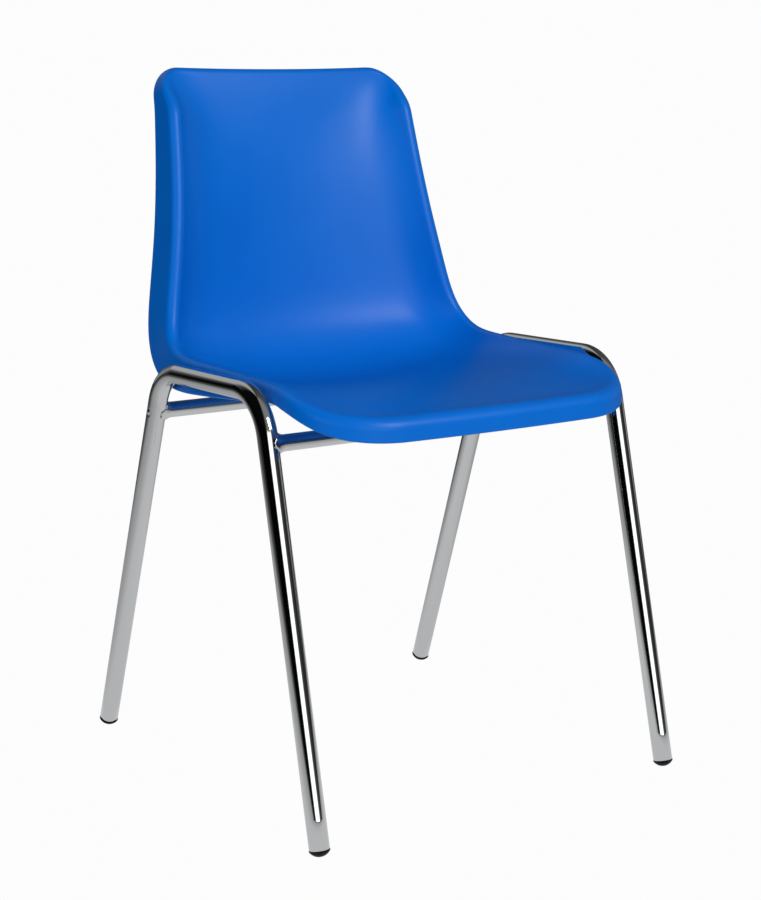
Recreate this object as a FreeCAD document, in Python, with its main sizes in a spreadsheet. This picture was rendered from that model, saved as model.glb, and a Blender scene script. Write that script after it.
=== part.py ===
"""Stacking chair: a one-piece moulded shell carried by two bent tube hoops and two cross tubes.

Millimetres, +Z up, floor at Z = 0. The origin lies on the floor midway between the four feet.
The sitter faces -Y, so the sitter's right is -X.
"""
import FreeCAD, Part
import Sketcher
import math
import os

SIZES = (
    ("tube_diameter", 22, "side frame tube, outside"),
    ("tube_wall", 1.5, "side frame tube, wall"),
    ("bend_radius", 56, "side frame bends, to the tube's centre line"),
    ("foot_splay", 3, "how much further out the leg's centre line is at the floor than at the rail"),
    ("foot_front_reach", 248.1, "front leg's centre line at the floor, in front of the origin"),
    ("foot_rear_reach", 248.9, "rear leg's centre line at the floor, behind the origin"),
    ("rail_gap", 2.76, "gap between the shell's widest place and the seat rails"),
    ("rail_front_reach", 135, "front corner of the centre lines, in front of the origin"),
    ("rail_rear_reach", 86, "rear corner of the centre lines, behind the origin"),
    ("rail_front_height", 467.5, "front corner of the centre lines, above the floor"),
    ("rail_rear_height", 462.5, "rear corner of the centre lines, above the floor"),
    ("bar_diameter", 18, "cross tube, outside"),
    ("bar_wall", 1.5, "cross tube, wall"),
    ("front_weld_rise", 4.34, "how far the front weld collars reach up past the end of the bend"),
    ("rear_weld_rise", 0, "the same for the rear weld collars"),
    ("weld_reach", 17, "weld collar's thin end, from the leg's centre line"),
    ("weld_flare", 3, "how much the weld collar widens towards the leg"),
    ("weld_gap", 0.05, "cut end of a cross tube to the leg's surface"),
    ("pip_diameter", 6, "plug weld on the outer side of a rear leg"),
    ("pip_height", 0.8, "how far the plug weld stands out"),
    ("foot_lip", 0.3, "how far the foot plug stands out past the tube"),
    ("foot_height", 7.5, "tube end to the floor, along the leg"),
    ("foot_land", 1.2, "straight band of the foot plug below the tube end"),
    ("foot_stem", 24, "foot plug's stem inside the tube"),
    ("stem_clearance", 0.5, "stem to bore, at each side"),
    ("rib_clearance", 0.05, "stem rib to bore, at each side"),
    ("rib_length", 2, "width of a stem rib"),
    ("rib_pitch", 7, "spacing of the stem ribs"),
    ("screw_diameter", 5, "shell screw, shank"),
    ("screw_length", 31, "shell screw, under the head"),
    ("screw_head", 9.5, "shell screw head, across"),
    ("screw_head_height", 3.2, "shell screw head, thickness"),
    ("socket_across", 3, "hexagon socket, across its flats"),
    ("socket_depth", 1.8, "hexagon socket, depth"),
    ("washer_diameter", 13, "washer under the screw head, across"),
    ("washer_thickness", 1.2, "washer under the screw head"),
    ("hole_clearance", 0.3, "screw to its hole, at each side"),
    ("fit_gap", 0.1, "faces that rest on each other"),
    ("screw_half_spacing", 95, "screws, from the middle of the chair"),
    ("boss_diameter", 26, "moulded boss under the seat, across"),
    ("boss_overlap", 4, "how far the boss reaches down past the cross tube's top"),
    ("boss_rib", 3, "thickness of the ribs round a boss"),
    ("boss_rib_reach", 26, "length of the ribs round a boss, from its centre"),
    ("saddle_gap", 0.2, "boss to cross tube"),
    ("shell_thickness", 4, "shell wall"),
    ("shell_length", 723, "front crest to top crest, along the middle of the shell"),
    ("seat_front_reach", 229.5, "front crest, in front of the origin"),
    ("seat_front_drop", 25, "front crest's middle line, below the front rail corner"),
    ("seat_fall", 5.6, "degrees that the seat falls towards the back"),
    ("front_rise", 14.3, "degrees by which the seat starts flatter at its front"),
    ("back_rise", 82.9, "degrees from level of the back"),
    ("bend_start", 257, "where the seat starts to turn up, along the shell"),
    ("bend_end", 497, "where the back is straight, along the shell"),
    ("front_half_width", 215, "crest half widths, at 0 of the shell's length"),
    ("seat_half_width", 202, "the same, at 1/5"),
    ("waist_half_width", 204.5, "the same, at 1/2"),
    ("back_half_width", 175.5, "the same, at 3/4"),
    ("top_half_width", 158.5, "the same, at the top"),
    ("front_corner_radius", 85.5, "plan radius of the front corners"),
    ("top_corner_radius", 26.5, "radius of the top corners"),
    ("front_blend", 127, "from the front edge to where the sides have their full height"),
    ("top_blend", 76, "length along the outline over which the sides' height runs out at the top"),
    ("top_lead", 28, "how far before the top corner it starts to run out"),
    ("front_bow", 6, "how far the front edge bows out at its middle"),
    ("top_bow", -3, "the same for the top edge; negative bows the other way"),
    ("front_crest", 22.5, "side crest above the middle surface, at 0 of the length"),
    ("seat_crest", 25.5, "the same, at 1/5"),
    ("waist_crest", 48, "the same, at 1/2"),
    ("back_crest", 45, "the same, at 3/4"),
    ("top_crest", 27.5, "the same, at the top"),
    ("front_lip", 4.5, "front edge's crest above the middle surface"),
    ("top_lip", -3, "top edge's crest above the middle surface"),
    ("front_roll", 13, "radius of the rolled front edge"),
    ("side_roll", 9.3, "radius of the rolled side edges"),
    ("top_roll", 7.5, "radius of the rolled top edge"),
    ("front_skirt", 13.5, "straight skirt below the roll, at the front edge"),
    ("seat_side_skirt", -4, "the same at the sides, at 0 of the length"),
    ("hip_skirt", 27.5, "the same, at 0.35"),
    ("waist_skirt", 35.5, "the same, at 0.6"),
    ("shoulder_skirt", 22, "the same, at the top of the sides"),
    ("top_skirt", 6, "the same at the top edge"),
    ("skirt_angle", 82, "degrees that the edge rolls over before the skirt"),
    ("dish_band", 60, "width of the side wall's rise inside the bead along the edge"),
    ("dish_power", 3, "how the side wall steepens towards the bead; 1 is even"),
    ("bowl_share", 0.6, "share of the side crest's height that the hollow rises by, across the shell"),
    ("bowl_fade", 150, "length over which that hollow runs out towards the front and the top"),
    ("spine_inset", 60, "ends of the middle line inside the front and top crests"),
)

doc = FreeCAD.newDocument("stacking_chair")
sheet = doc.addObject("Spreadsheet::Sheet", "sizes")
for row, (alias, value, note) in enumerate(SIZES, start=1):
    sheet.set(f"A{row}", note)
    sheet.set(f"B{row}", str(value))
    sheet.setAlias(f"B{row}", alias)
doc.recompute()


def size(alias):
    """Value of one driving dimension."""
    return float(sheet.get(alias))


def bind(item, **expressions):
    """Bind properties of an object to expressions of the sheet's cells."""
    for name, text in expressions.items():
        item.setExpression(name, text)
    return item


# ---------------------------------------------------------------- where things are
# Expressions that several parts share. Angles come out in degrees.
RAIL_RUN = "(sizes.rail_front_reach + sizes.rail_rear_reach)"
RAIL_DROP = "(sizes.rail_front_height - sizes.rail_rear_height)"
RAIL_SLOPE = f"atan({RAIL_DROP} / {RAIL_RUN})"
RAIL_HALF = f"(sqrt({RAIL_RUN}^2 + {RAIL_DROP}^2) / 2)"
MID_HEIGHT = "((sizes.rail_front_height + sizes.rail_rear_height) / 2)"
RAIL_X = (
    "(max(sizes.seat_half_width; sizes.waist_half_width) + sizes.side_roll"
    " + sizes.waist_skirt * cos(sizes.skirt_angle * 1 deg) + sizes.rail_gap + sizes.tube_diameter / 2)"
)
FOOT_X = f"({RAIL_X} + sizes.foot_splay)"
FOOT_ACROSS = "(sizes.tube_diameter + 2 * sizes.foot_lip)"
MID_Y = "((sizes.rail_rear_reach - sizes.rail_front_reach) / 2)"
SPLAY = f"atan(sizes.foot_splay / {MID_HEIGHT})"
HOOP_PLACE = (
    "placement(vector({x}; {y}; {z});"
    " rotation(vector(0; 1; 0); {splay}) * rotation(vector(1; 0; 0); {turn}))"
)


class Leg:
    """One end of the hoops: which way it goes from the rail, and its expressions."""

    def __init__(self, end, way):
        self.end = end
        self.way = way
        self.foot_reach = f"sizes.foot_{end}_reach"
        self.corner_reach = f"sizes.rail_{end}_reach"
        self.corner_height = f"sizes.rail_{end}_height"
        spread = f"({self.foot_reach} - {self.corner_reach})"
        self.lean = f"atan({spread} / {self.corner_height})"
        slope_sign = "+" if way < 0 else "-"
        self.turn = f"(90 deg - {self.lean} {slope_sign} {RAIL_SLOPE})"
        self.setback = f"(sizes.bend_radius * tan({self.turn} / 2))"
        self.bar_height = (
            f"({self.corner_height} - {self.setback} * cos({self.lean})"
            f" - sizes.bar_diameter / 2 - sizes.weld_flare + sizes.{end}_weld_rise)"
        )
        self.length = f"sqrt({spread}^2 + {self.corner_height}^2)"
        self.bar_y = f"({way} * ({self.foot_reach} - {spread} * {self.bar_height} / {self.corner_height}))"
        self.bar_half = f"({FOOT_X} - sizes.foot_splay * {self.bar_height} / {MID_HEIGHT})"

    def values(self):
        """Place of the cross tube at this end, from the same sizes: y and z of its centre line."""
        foot = size(f"foot_{self.end}_reach")
        spread = foot - size(f"rail_{self.end}_reach")
        corner = size(f"rail_{self.end}_height")
        drop = size("rail_front_height") - size("rail_rear_height")
        slope = math.atan2(drop, size("rail_front_reach") + size("rail_rear_reach"))
        lean = math.atan2(spread, corner)
        turn = math.pi / 2 - lean - self.way * slope
        setback = size("bend_radius") * math.tan(turn / 2)
        collar = size("bar_diameter") / 2 + size("weld_flare")
        height = corner - setback * math.cos(lean) - collar + size(f"{self.end}_weld_rise")
        y = self.way * (foot - spread * height / corner)
        return y, height


FRONT = Leg("front", -1)
REAR = Leg("rear", 1)
SIDES = (("right", -1), ("left", 1))


def plane_of(body, role):
    """Origin plane of a body."""
    return next(item for item in body.Origin.OriginFeatures if item.Role == role)


def add_sketch(body, name, role):
    """Empty sketch on one of the body's own origin planes."""
    sketch = body.newObject("Sketcher::SketchObject", name)
    sketch.AttachmentSupport = (plane_of(body, role), [""])
    sketch.MapMode = "FlatFace"
    return sketch


def leg_placement(side, leg):
    """Placement expression for the point where a leg's centre line meets the floor, local Z up the leg."""
    return HOOP_PLACE.format(
        x=f"{side} * {FOOT_X}", y=f"{leg.way} * {leg.foot_reach}", z="0",
        splay=f"{-side} * {SPLAY}", turn=f"{leg.way} * {leg.lean}")


# ---------------------------------------------------------------- side frames
def add_path(body, leg):
    """Centre line from the middle of the rail over one bend to one tube end."""
    sketch = add_sketch(body, f"{body.Name}_{leg.end}_path", "YZ_Plane")
    straight = 50.0
    radius = size("bend_radius")
    turn = math.radians(75)
    start = math.pi / 2 - turn if leg.way > 0 else math.pi / 2
    centre = FreeCAD.Vector(leg.way * straight, -radius, 0)
    bend_end = centre + FreeCAD.Vector(leg.way * math.sin(turn), math.cos(turn), 0) * radius
    foot = bend_end + FreeCAD.Vector(leg.way * math.cos(turn), -math.sin(turn), 0) * 400
    rail_end = FreeCAD.Vector(leg.way * straight, 0, 0)
    circle = Part.Circle(centre, FreeCAD.Vector(0, 0, 1), radius)
    sketch.addGeometry(Part.LineSegment(FreeCAD.Vector(0, 0, 0), rail_end))
    sketch.addGeometry(Part.ArcOfCircle(circle, start, start + turn))
    sketch.addGeometry(Part.LineSegment(foot, bend_end))
    rail_point, leg_point = (2, 1) if leg.way > 0 else (1, 2)
    sketch.addConstraint(Sketcher.Constraint("Coincident", 0, 1, -1, 1))
    sketch.addConstraint(Sketcher.Constraint("Horizontal", 0))
    sketch.addConstraint(Sketcher.Constraint("Tangent", 0, 2, 1, rail_point))
    sketch.addConstraint(Sketcher.Constraint("Tangent", 2, 2, 1, leg_point))
    rail = sketch.addConstraint(Sketcher.Constraint("Distance", 0, straight))
    bend = sketch.addConstraint(Sketcher.Constraint("Radius", 1, radius))
    slope = turn if leg.way < 0 else math.pi - turn
    lean = sketch.addConstraint(Sketcher.Constraint("Angle", 2, slope))
    run = sketch.addConstraint(Sketcher.Constraint("Distance", 2, 400))
    heading = leg.turn if leg.way < 0 else f"180 deg - {leg.turn}"
    sketch.setExpression(f"Constraints[{rail}]", f"{RAIL_HALF} - {leg.setback}")
    sketch.setExpression(f"Constraints[{bend}]", "sizes.bend_radius")
    sketch.setExpression(f"Constraints[{lean}]", heading)
    sketch.setExpression(f"Constraints[{run}]", f"{leg.length} - {leg.setback} - sizes.foot_height")
    return sketch


def add_ring(body):
    """Tube section: two circles about the middle of the rail."""
    sketch = add_sketch(body, f"{body.Name}_section", "XZ_Plane")
    for index, text in enumerate(("sizes.tube_diameter / 2", "sizes.tube_diameter / 2 - sizes.tube_wall")):
        circle = Part.Circle(FreeCAD.Vector(0, 0, 0), FreeCAD.Vector(0, 0, 1), 10 - index)
        sketch.addGeometry(circle)
        sketch.addConstraint(Sketcher.Constraint("Coincident", index, 3, -1, 1))
        radius = sketch.addConstraint(Sketcher.Constraint("Radius", index, 10 - index))
        sketch.setExpression(f"Constraints[{radius}]", text)
    return sketch


def make_side_frame(side_name, side):
    """Bent hoop: a nearly level seat rail with a leg at each end, and two plug welds."""
    body = doc.addObject("PartDesign::Body", f"{side_name}_hoop")
    section = add_ring(body)
    for leg in (FRONT, REAR):
        path = add_path(body, leg)
        doc.recompute()
        pipe = body.newObject("PartDesign::AdditivePipe", f"{side_name}_{leg.end}_run")
        pipe.Profile = (section, [""])
        pipe.Spine = (path, [f"Edge{index}" for index in (1, 2, 3)])
        doc.recompute()
    body.setExpression("Placement", HOOP_PLACE.format(
        x=f"{side} * {RAIL_X}", y=MID_Y, z=MID_HEIGHT,
        splay=f"{-side} * {SPLAY}", turn=f"-{RAIL_SLOPE}"))
    pip = doc.addObject("Part::Ellipsoid", f"{side_name}_pip")
    bind(pip, Radius1="sizes.pip_diameter / 2", Radius2="sizes.pip_height * 2")
    bind(pip, Placement=(
        f"placement(vector({side} * ({REAR.bar_half} + sizes.tube_diameter / 2 - sizes.pip_height);"
        f" {REAR.bar_y}; {REAR.bar_height}); rotation(vector(1; 0; 0); 0))"))
    frame = doc.addObject("Part::Fuse", f"{side_name}_side_frame")
    frame.Base = body
    frame.Tool = pip
    frame.Label = f"{side_name}_side_frame"
    return frame


# ---------------------------------------------------------------- cross tubes
def make_cylinder(name, radius, height, placement):
    """Cylinder along its local Z, sized and placed by expressions."""
    item = doc.addObject("Part::Cylinder", name)
    return bind(item, Radius=radius, Height=height, Placement=placement)


def make_cross_tube(leg):
    """Tube between the hoops, cut to the legs, with weld collars and screw holes."""
    label = f"{leg.end}_cross_tube"
    across = "placement(vector({x}; {y}; {z}); rotation(vector(0; 1; 0); {turn}))"
    start = across.format(x=f"-{leg.bar_half}", y=leg.bar_y, z=leg.bar_height, turn=90)
    length = f"2 * {leg.bar_half}"
    outer = make_cylinder(f"{label}_outer", "sizes.bar_diameter / 2", length, start)
    bore = make_cylinder(f"{label}_bore", "sizes.bar_diameter / 2 - sizes.bar_wall", length, start)
    solids = [outer]
    cuts = [bore]
    for side_name, side in SIDES:
        collar = doc.addObject("Part::Cone", f"{label}_{side_name}_collar")
        bind(collar, Radius1="sizes.bar_diameter / 2 + sizes.weld_flare", Radius2="sizes.bar_diameter / 2")
        bind(collar, Height="sizes.weld_reach - sizes.tube_diameter / 4")
        seat = f"{side} * ({leg.bar_half} - sizes.tube_diameter / 4)"
        bind(collar, Placement=across.format(x=seat, y=leg.bar_y, z=leg.bar_height, turn=-90 * side))
        solids.append(collar)
        cope = make_cylinder(
            f"{label}_{side_name}_cope", "sizes.tube_diameter / 2 + sizes.weld_gap", leg.corner_height,
            leg_placement(side, leg))
        cuts.append(cope)
        hole = make_cylinder(
            f"{label}_{side_name}_hole", "sizes.screw_diameter / 2 + sizes.hole_clearance",
            "sizes.bar_diameter * 2",
            across.format(x=f"{side} * sizes.screw_half_spacing", y=leg.bar_y,
                          z=f"{leg.bar_height} - sizes.bar_diameter", turn=0))
        cuts.append(hole)
    body = doc.addObject("Part::MultiFuse", f"{label}_solid")
    body.Shapes = solids
    holes = doc.addObject("Part::MultiFuse", f"{label}_cuts")
    holes.Shapes = cuts
    tube = doc.addObject("Part::Cut", label)
    tube.Base = body
    tube.Tool = holes
    tube.Label = label
    return tube


# ---------------------------------------------------------------- feet
def make_foot(side_name, side, leg):
    """Plug with a domed cap, a ribbed stem in the tube and a small flat where it meets the floor."""
    label = f"{leg.end}_{side_name}_foot"
    local = "placement(vector(0; 0; {z}); rotation(vector(1; 0; 0); 0))"
    bore = "sizes.tube_diameter / 2 - sizes.tube_wall"
    rise = "(sizes.foot_height - sizes.foot_land)"
    ball_radius = f"((({FOOT_ACROSS} / 2)^2 + {rise}^2) / (2 * {rise}))"
    ball = doc.addObject("Part::Sphere", f"{label}_ball")
    bind(ball, Radius=ball_radius, Placement=local.format(z=ball_radius))
    rim = make_cylinder(f"{label}_rim", f"{FOOT_ACROSS} / 2", rise, local.format(z="0"))
    dome = doc.addObject("Part::Common", f"{label}_dome")
    dome.Base = ball
    dome.Tool = rim
    land = make_cylinder(f"{label}_land", f"{FOOT_ACROSS} / 2", "sizes.foot_land - sizes.fit_gap",
                         local.format(z=rise))
    stem = make_cylinder(f"{label}_stem", f"{bore} - sizes.stem_clearance", "sizes.foot_stem",
                         local.format(z=rise))
    solids = [dome, land, stem]
    for index in (1, 2, 3):
        solids.append(make_cylinder(
            f"{label}_rib_{index}", f"{bore} - sizes.rib_clearance", "sizes.rib_length",
            local.format(z=f"sizes.foot_height + {index} * sizes.rib_pitch - sizes.rib_length")))
    plug = doc.addObject("Part::MultiFuse", f"{label}_plug")
    plug.Shapes = solids
    bind(plug, Placement=leg_placement(side, leg))
    floor = doc.addObject("Part::Box", f"{label}_floor")
    bind(floor, Length=f"4 * {FOOT_ACROSS}", Width=f"4 * {FOOT_ACROSS}", Height=FOOT_ACROSS)
    bind(floor, Placement=(
        f"placement(vector({side} * {FOOT_X} - 2 * {FOOT_ACROSS};"
        f" {leg.way} * {leg.foot_reach} - 2 * {FOOT_ACROSS}; -{FOOT_ACROSS});"
        f" rotation(vector(1; 0; 0); 0))"))
    foot = doc.addObject("Part::Cut", label)
    foot.Base = plug
    foot.Tool = floor
    foot.Label = label
    return foot


# ---------------------------------------------------------------- screws and washers
def make_fasteners():
    """Four screws up through the cross tubes into the bosses, each with a washer."""
    screws = []
    washers = []
    spot = "placement(vector({x}; {y}; {z}); rotation(vector(0; 0; 1); 0))"
    for leg in (FRONT, REAR):
        for side_name, side in SIDES:
            name = f"{leg.end}_{side_name}_screw"
            x = f"{side} * sizes.screw_half_spacing"
            under = f"{leg.bar_height} - sizes.bar_diameter / 2 - sizes.fit_gap - sizes.washer_thickness"
            below = f"{under} - sizes.fit_gap"
            shank = make_cylinder(f"{name}_shank", "sizes.screw_diameter / 2", "sizes.screw_length",
                                  spot.format(x=x, y=leg.bar_y, z=below))
            head = make_cylinder(f"{name}_head", "sizes.screw_head / 2", "sizes.screw_head_height",
                                 spot.format(x=x, y=leg.bar_y, z=f"{below} - sizes.screw_head_height"))
            socket = doc.addObject("Part::Prism", f"{name}_socket")
            socket.Polygon = 6
            bind(socket, Circumradius="sizes.socket_across / sqrt(3)", Height="2 * sizes.socket_depth")
            bind(socket, Placement=spot.format(
                x=x, y=leg.bar_y, z=f"{below} - sizes.screw_head_height - sizes.socket_depth"))
            solid = doc.addObject("Part::Fuse", f"{name}_solid")
            solid.Base = head
            solid.Tool = shank
            screw = doc.addObject("Part::Cut", name)
            screw.Base = solid
            screw.Tool = socket
            screws.append(screw)
            disc = make_cylinder(f"{name}_washer_disc", "sizes.washer_diameter / 2",
                                 "sizes.washer_thickness", spot.format(x=x, y=leg.bar_y, z=under))
            eye = make_cylinder(f"{name}_washer_eye", "sizes.screw_diameter / 2 + sizes.hole_clearance",
                                "sizes.washer_thickness", spot.format(x=x, y=leg.bar_y, z=under))
            washer = doc.addObject("Part::Cut", f"{name}_washer")
            washer.Base = disc
            washer.Tool = eye
            washers.append(washer)
    groups = []
    for label, members in (("shell_screws", screws), ("screw_washers", washers)):
        group = doc.addObject("Part::Compound", label)
        group.Links = members
        group.Label = label
        groups.append(group)
    return groups


# ---------------------------------------------------------------- shell
def ease(value):
    """Smooth step from 0 to 1 with level ends: 6 v^5 - 15 v^4 + 10 v^3."""
    value = min(max(value, 0.0), 1.0)
    return value ** 3 * (value * (6 * value - 15) + 10)


class Curve:
    """Natural cubic spline through a few stations."""

    def __init__(self, stations, values):
        self.stations = stations
        self.values = values
        count = len(stations)
        gaps = [stations[i + 1] - stations[i] for i in range(count - 1)]
        slopes = [(values[i + 1] - values[i]) / gaps[i] for i in range(count - 1)]
        upper = [0.0] * count
        right = [0.0] * count
        for i in range(1, count - 1):
            pivot = 2 * (gaps[i - 1] + gaps[i]) - gaps[i - 1] * upper[i - 1]
            upper[i] = gaps[i] / pivot
            right[i] = (6 * (slopes[i] - slopes[i - 1]) - gaps[i - 1] * right[i - 1]) / pivot
        self.bends = [0.0] * count
        for i in range(count - 2, 0, -1):
            self.bends[i] = right[i] - upper[i] * self.bends[i + 1]

    def at(self, place):
        """Value at a place between the first and the last station."""
        place = min(max(place, self.stations[0]), self.stations[-1])
        i = 0
        while place > self.stations[i + 1]:
            i += 1
        gap = self.stations[i + 1] - self.stations[i]
        low = (self.stations[i + 1] - place) / gap
        high = 1 - low
        bend = (low ** 3 - low) * self.bends[i] + (high ** 3 - high) * self.bends[i + 1]
        return low * self.values[i] + high * self.values[i + 1] + bend * gap ** 2 / 6


class ShellShape:
    """The shell's top surface, as a function of a place on its outline and a place across it.

    A point is first laid out flat: a across the chair, b along the middle of the shell from the
    front crest, and its height above the middle surface. The middle surface then bends the flat
    layout into seat and back: it is swept along X and its heading turns with b.
    """

    STEP = 1.0
    SPANS = (6, 7, 18, 6, 5)
    DISH = (0, 0.12, 0.25, 0.38, 0.5, 0.6, 0.69, 0.77, 0.84, 0.9, 0.95, 1)
    ROLL = (1, 1.2, 1.4, 1.6, 1.8, 2)
    SKIRT = (2, 3)

    def __init__(self):
        self.length = size("shell_length")
        self.inset = size("spine_inset")
        self.front_radius = size("front_corner_radius")
        self.top_radius = size("top_corner_radius")
        fifths = [share * self.length for share in (0, 0.2, 0.5, 0.75, 1)]
        ends = ("front", "seat", "waist", "back", "top")
        self.width = Curve(fifths, [size(f"{end}_half_width") for end in ends])
        self.crest = Curve(fifths, [size(f"{end}_crest") for end in ends])
        skirt_names = ("seat_side_skirt", "hip_skirt", "waist_skirt", "shoulder_skirt")
        self.skirt = Curve([share * self.length for share in (0, 0.35, 0.6, 1)],
                           [size(name) for name in skirt_names])
        self.make_middle_line()
        self.make_outline()

    def heading(self, b):
        """Direction of the middle line at b, in radians above level towards the back."""
        b = min(max(b, 0.0), self.length)
        start = size("bend_start")
        turned = ease((b - start) / (size("bend_end") - start))
        angle = (size("seat_fall") + size("back_rise")) * turned - size("seat_fall")
        return math.radians(angle + size("front_rise") * max(1 - b / start, 0.0) ** 2)

    def make_middle_line(self):
        """Add up the middle line in small steps, from the front crest both ways."""
        reach = 60
        self.before = self.walk(-self.STEP, reach)
        self.after = self.walk(self.STEP, int(self.length) + reach)

    def walk(self, step, count):
        """Points of the middle line at equal steps from the front crest."""
        y = -size("seat_front_reach")
        z = size("rail_front_height") - size("seat_front_drop")
        points = [(y, z)]
        for index in range(count):
            angle = self.heading((index + 0.5) * step)
            y += step * math.cos(angle)
            z += step * math.sin(angle)
            points.append((y, z))
        return points

    def bend(self, a, b, height):
        """Carry a flat point over to the bent shell."""
        points = self.after if b >= 0 else self.before
        place = abs(b) / self.STEP
        index = min(int(place), len(points) - 2)
        part = place - index
        y = points[index][0] * (1 - part) + points[index + 1][0] * part
        z = points[index][1] * (1 - part) + points[index + 1][1] * part
        angle = self.heading(b)
        return FreeCAD.Vector(a, y - math.sin(angle) * height, z + math.cos(angle) * height)

    def make_outline(self):
        """Half outline of the crest, from the front middle to the top middle, in five stretches."""
        front_width = self.width.at(self.front_radius)
        top_width = self.width.at(self.length - self.top_radius)
        front_run = front_width - self.front_radius
        top_run = self.width.at(self.length) - self.top_radius
        front_bow = size("front_bow")
        top_bow = size("top_bow")

        def front_edge(t):
            a = t * front_run
            return a, front_bow * (a / front_width) ** 2

        def front_corner(t):
            turn = t * math.pi / 2
            a = front_run + self.front_radius * math.sin(turn)
            round_off = (self.front_radius - front_bow) * (1 - math.cos(turn))
            return a, front_bow * (a / front_width) ** 2 + round_off

        def side_edge(t):
            b = self.front_radius + t * (self.length - self.front_radius - self.top_radius)
            return self.width.at(b), b

        def top_corner(t):
            turn = t * math.pi / 2
            a = self.width.at(self.length - self.top_radius * (1 - math.sin(turn)))
            a -= self.top_radius * (1 - math.cos(turn))
            round_off = (self.top_radius - top_bow) * (1 - math.sin(turn))
            return a, self.length - top_bow * (a / top_width) ** 2 - round_off

        def top_edge(t):
            a = (1 - t) * top_run
            return a, self.length - top_bow * (a / top_width) ** 2

        self.stretches = (front_edge, front_corner, side_edge, top_corner, top_edge)
        lengths = [self.stretch_length(stretch) for stretch in self.stretches]
        self.total = sum(lengths)
        self.starts = [sum(lengths[:index]) for index in range(len(lengths))]
        self.lengths = lengths

    @staticmethod
    def stretch_length(stretch, pieces=40):
        """Length of one stretch of the outline."""
        points = [stretch(index / pieces) for index in range(pieces + 1)]
        return sum(math.dist(points[i], points[i + 1]) for i in range(pieces))

    def outline(self, place):
        """Outline point, outward direction and share of the way; place counts stretches, 0 to 5."""
        index = min(int(place), len(self.stretches) - 1)
        stretch = self.stretches[index]
        t = place - index
        a, b = stretch(t)
        share = (self.starts[index] + t * self.lengths[index]) / self.total
        if place == 0:
            return 0.0, b, 0.0, -1.0, share
        if place == len(self.stretches):
            return 0.0, b, 0.0, 1.0, share
        before = stretch(max(t - 1e-4, 0.0))
        after = stretch(min(t + 1e-4, 1.0))
        step = math.dist(before, after)
        return a, b, (after[1] - before[1]) / step, (before[0] - after[0]) / step, share

    def edge_sizes(self, b, share):
        """Crest height, roll radius and skirt length at b and at a share of the outline."""
        front = ease(1 - b / size("front_blend"))
        past = share * self.total - self.starts[3]
        top = ease((past + size("top_lead")) / size("top_blend"))
        side = (1 - front) * (1 - top)
        crest = side * self.crest.at(b) + front * size("front_lip") + top * size("top_lip")
        roll = side * size("side_roll") + front * size("front_roll") + top * size("top_roll")
        skirt = side * self.skirt.at(b) + front * size("front_skirt") + top * size("top_skirt")
        return crest, roll, skirt

    def spine(self, share):
        """Place along the middle of the shell where the line to an outline point starts."""
        eased = ease(0.5 * share + 0.5 * share ** 2 * (3 - 2 * share))
        return self.inset + (self.length - 2 * self.inset) * (0.15 * share + 0.85 * eased)

    def bowl(self, a, b):
        """Height of the shell's hollow: a parabola across, run out towards the front and the top."""
        fade = size("bowl_fade")
        depth = self.crest.at(b) * ease(b / fade) * ease((self.length - b) / fade)
        return size("bowl_share") * depth * (a / self.width.at(b)) ** 2

    def wall_lean(self, a, b, out_a, out_b, height):
        """Slope angle of the hollow and the side wall at the outline, where the wall reaches a height."""
        base = self.bowl(a, b)
        slope = base - self.bowl(a - out_a, b - out_b)
        return math.atan(slope + (height - base) * size("dish_power") / size("dish_band"))

    def point(self, place, across):
        """Top surface point.

        across runs 0 to 1 from the spine to the foot of the bead, to 2 over the bead and to 3 down
        the skirt. The bead is an arc that starts with the side wall's own slope.
        """
        a, b, out_a, out_b, share = self.outline(place)
        crest, roll, skirt = self.edge_sizes(b, share)
        lean = self.wall_lean(a, b, out_a, out_b, crest)
        lean = self.wall_lean(a, b, out_a, out_b, crest - roll * (1 - math.cos(lean)))
        if across <= 1:
            spine = self.spine(share)
            foot_a = a - out_a * roll * math.sin(lean)
            foot_b = b - out_b * roll * math.sin(lean)
            inside = (1 - across) * (foot_a * out_a + (foot_b - spine) * out_b)
            wall = max(1 - inside / size("dish_band"), 0.0) ** size("dish_power")
            rise = crest - roll * (1 - math.cos(lean)) - self.bowl(foot_a, foot_b)
            flat_a = foot_a * across
            flat_b = spine + (foot_b - spine) * across
            return self.bend(flat_a, flat_b, self.bowl(flat_a, flat_b) + rise * wall)
        turn = math.radians(size("skirt_angle")) * min(across - 1, 1.0) - lean * max(2 - across, 0.0)
        down = max(across - 2, 0.0) * skirt
        outward = roll * math.sin(turn) + down * math.cos(turn)
        height = crest - roll * (1 - math.cos(turn)) - down * math.sin(turn)
        return self.bend(a + out_a * outward, b + out_b * outward, height)

    def normal(self, place, across):
        """Unit vector out of the top surface."""
        if across == 0:
            angle = self.heading(self.spine(self.outline(place)[4]))
            return FreeCAD.Vector(0, -math.sin(angle), math.cos(angle))
        step = 1e-3
        last = len(self.stretches)
        along = self.point(min(place + step, last), across) - self.point(max(place - step, 0), across)
        over = self.point(place, min(across + step, 3)) - self.point(place, across - step)
        normal = over.cross(along)
        if place in (0, last):
            normal.x = 0
        return normal.normalize()

    def places(self):
        """Places along the outline where curves cross it, and how far along it each one is."""
        spots = [index + part / count for index, count in enumerate(self.SPANS) for part in range(count)]
        spots.append(len(self.SPANS))
        return spots, [self.outline(place)[4] for place in spots]

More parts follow.
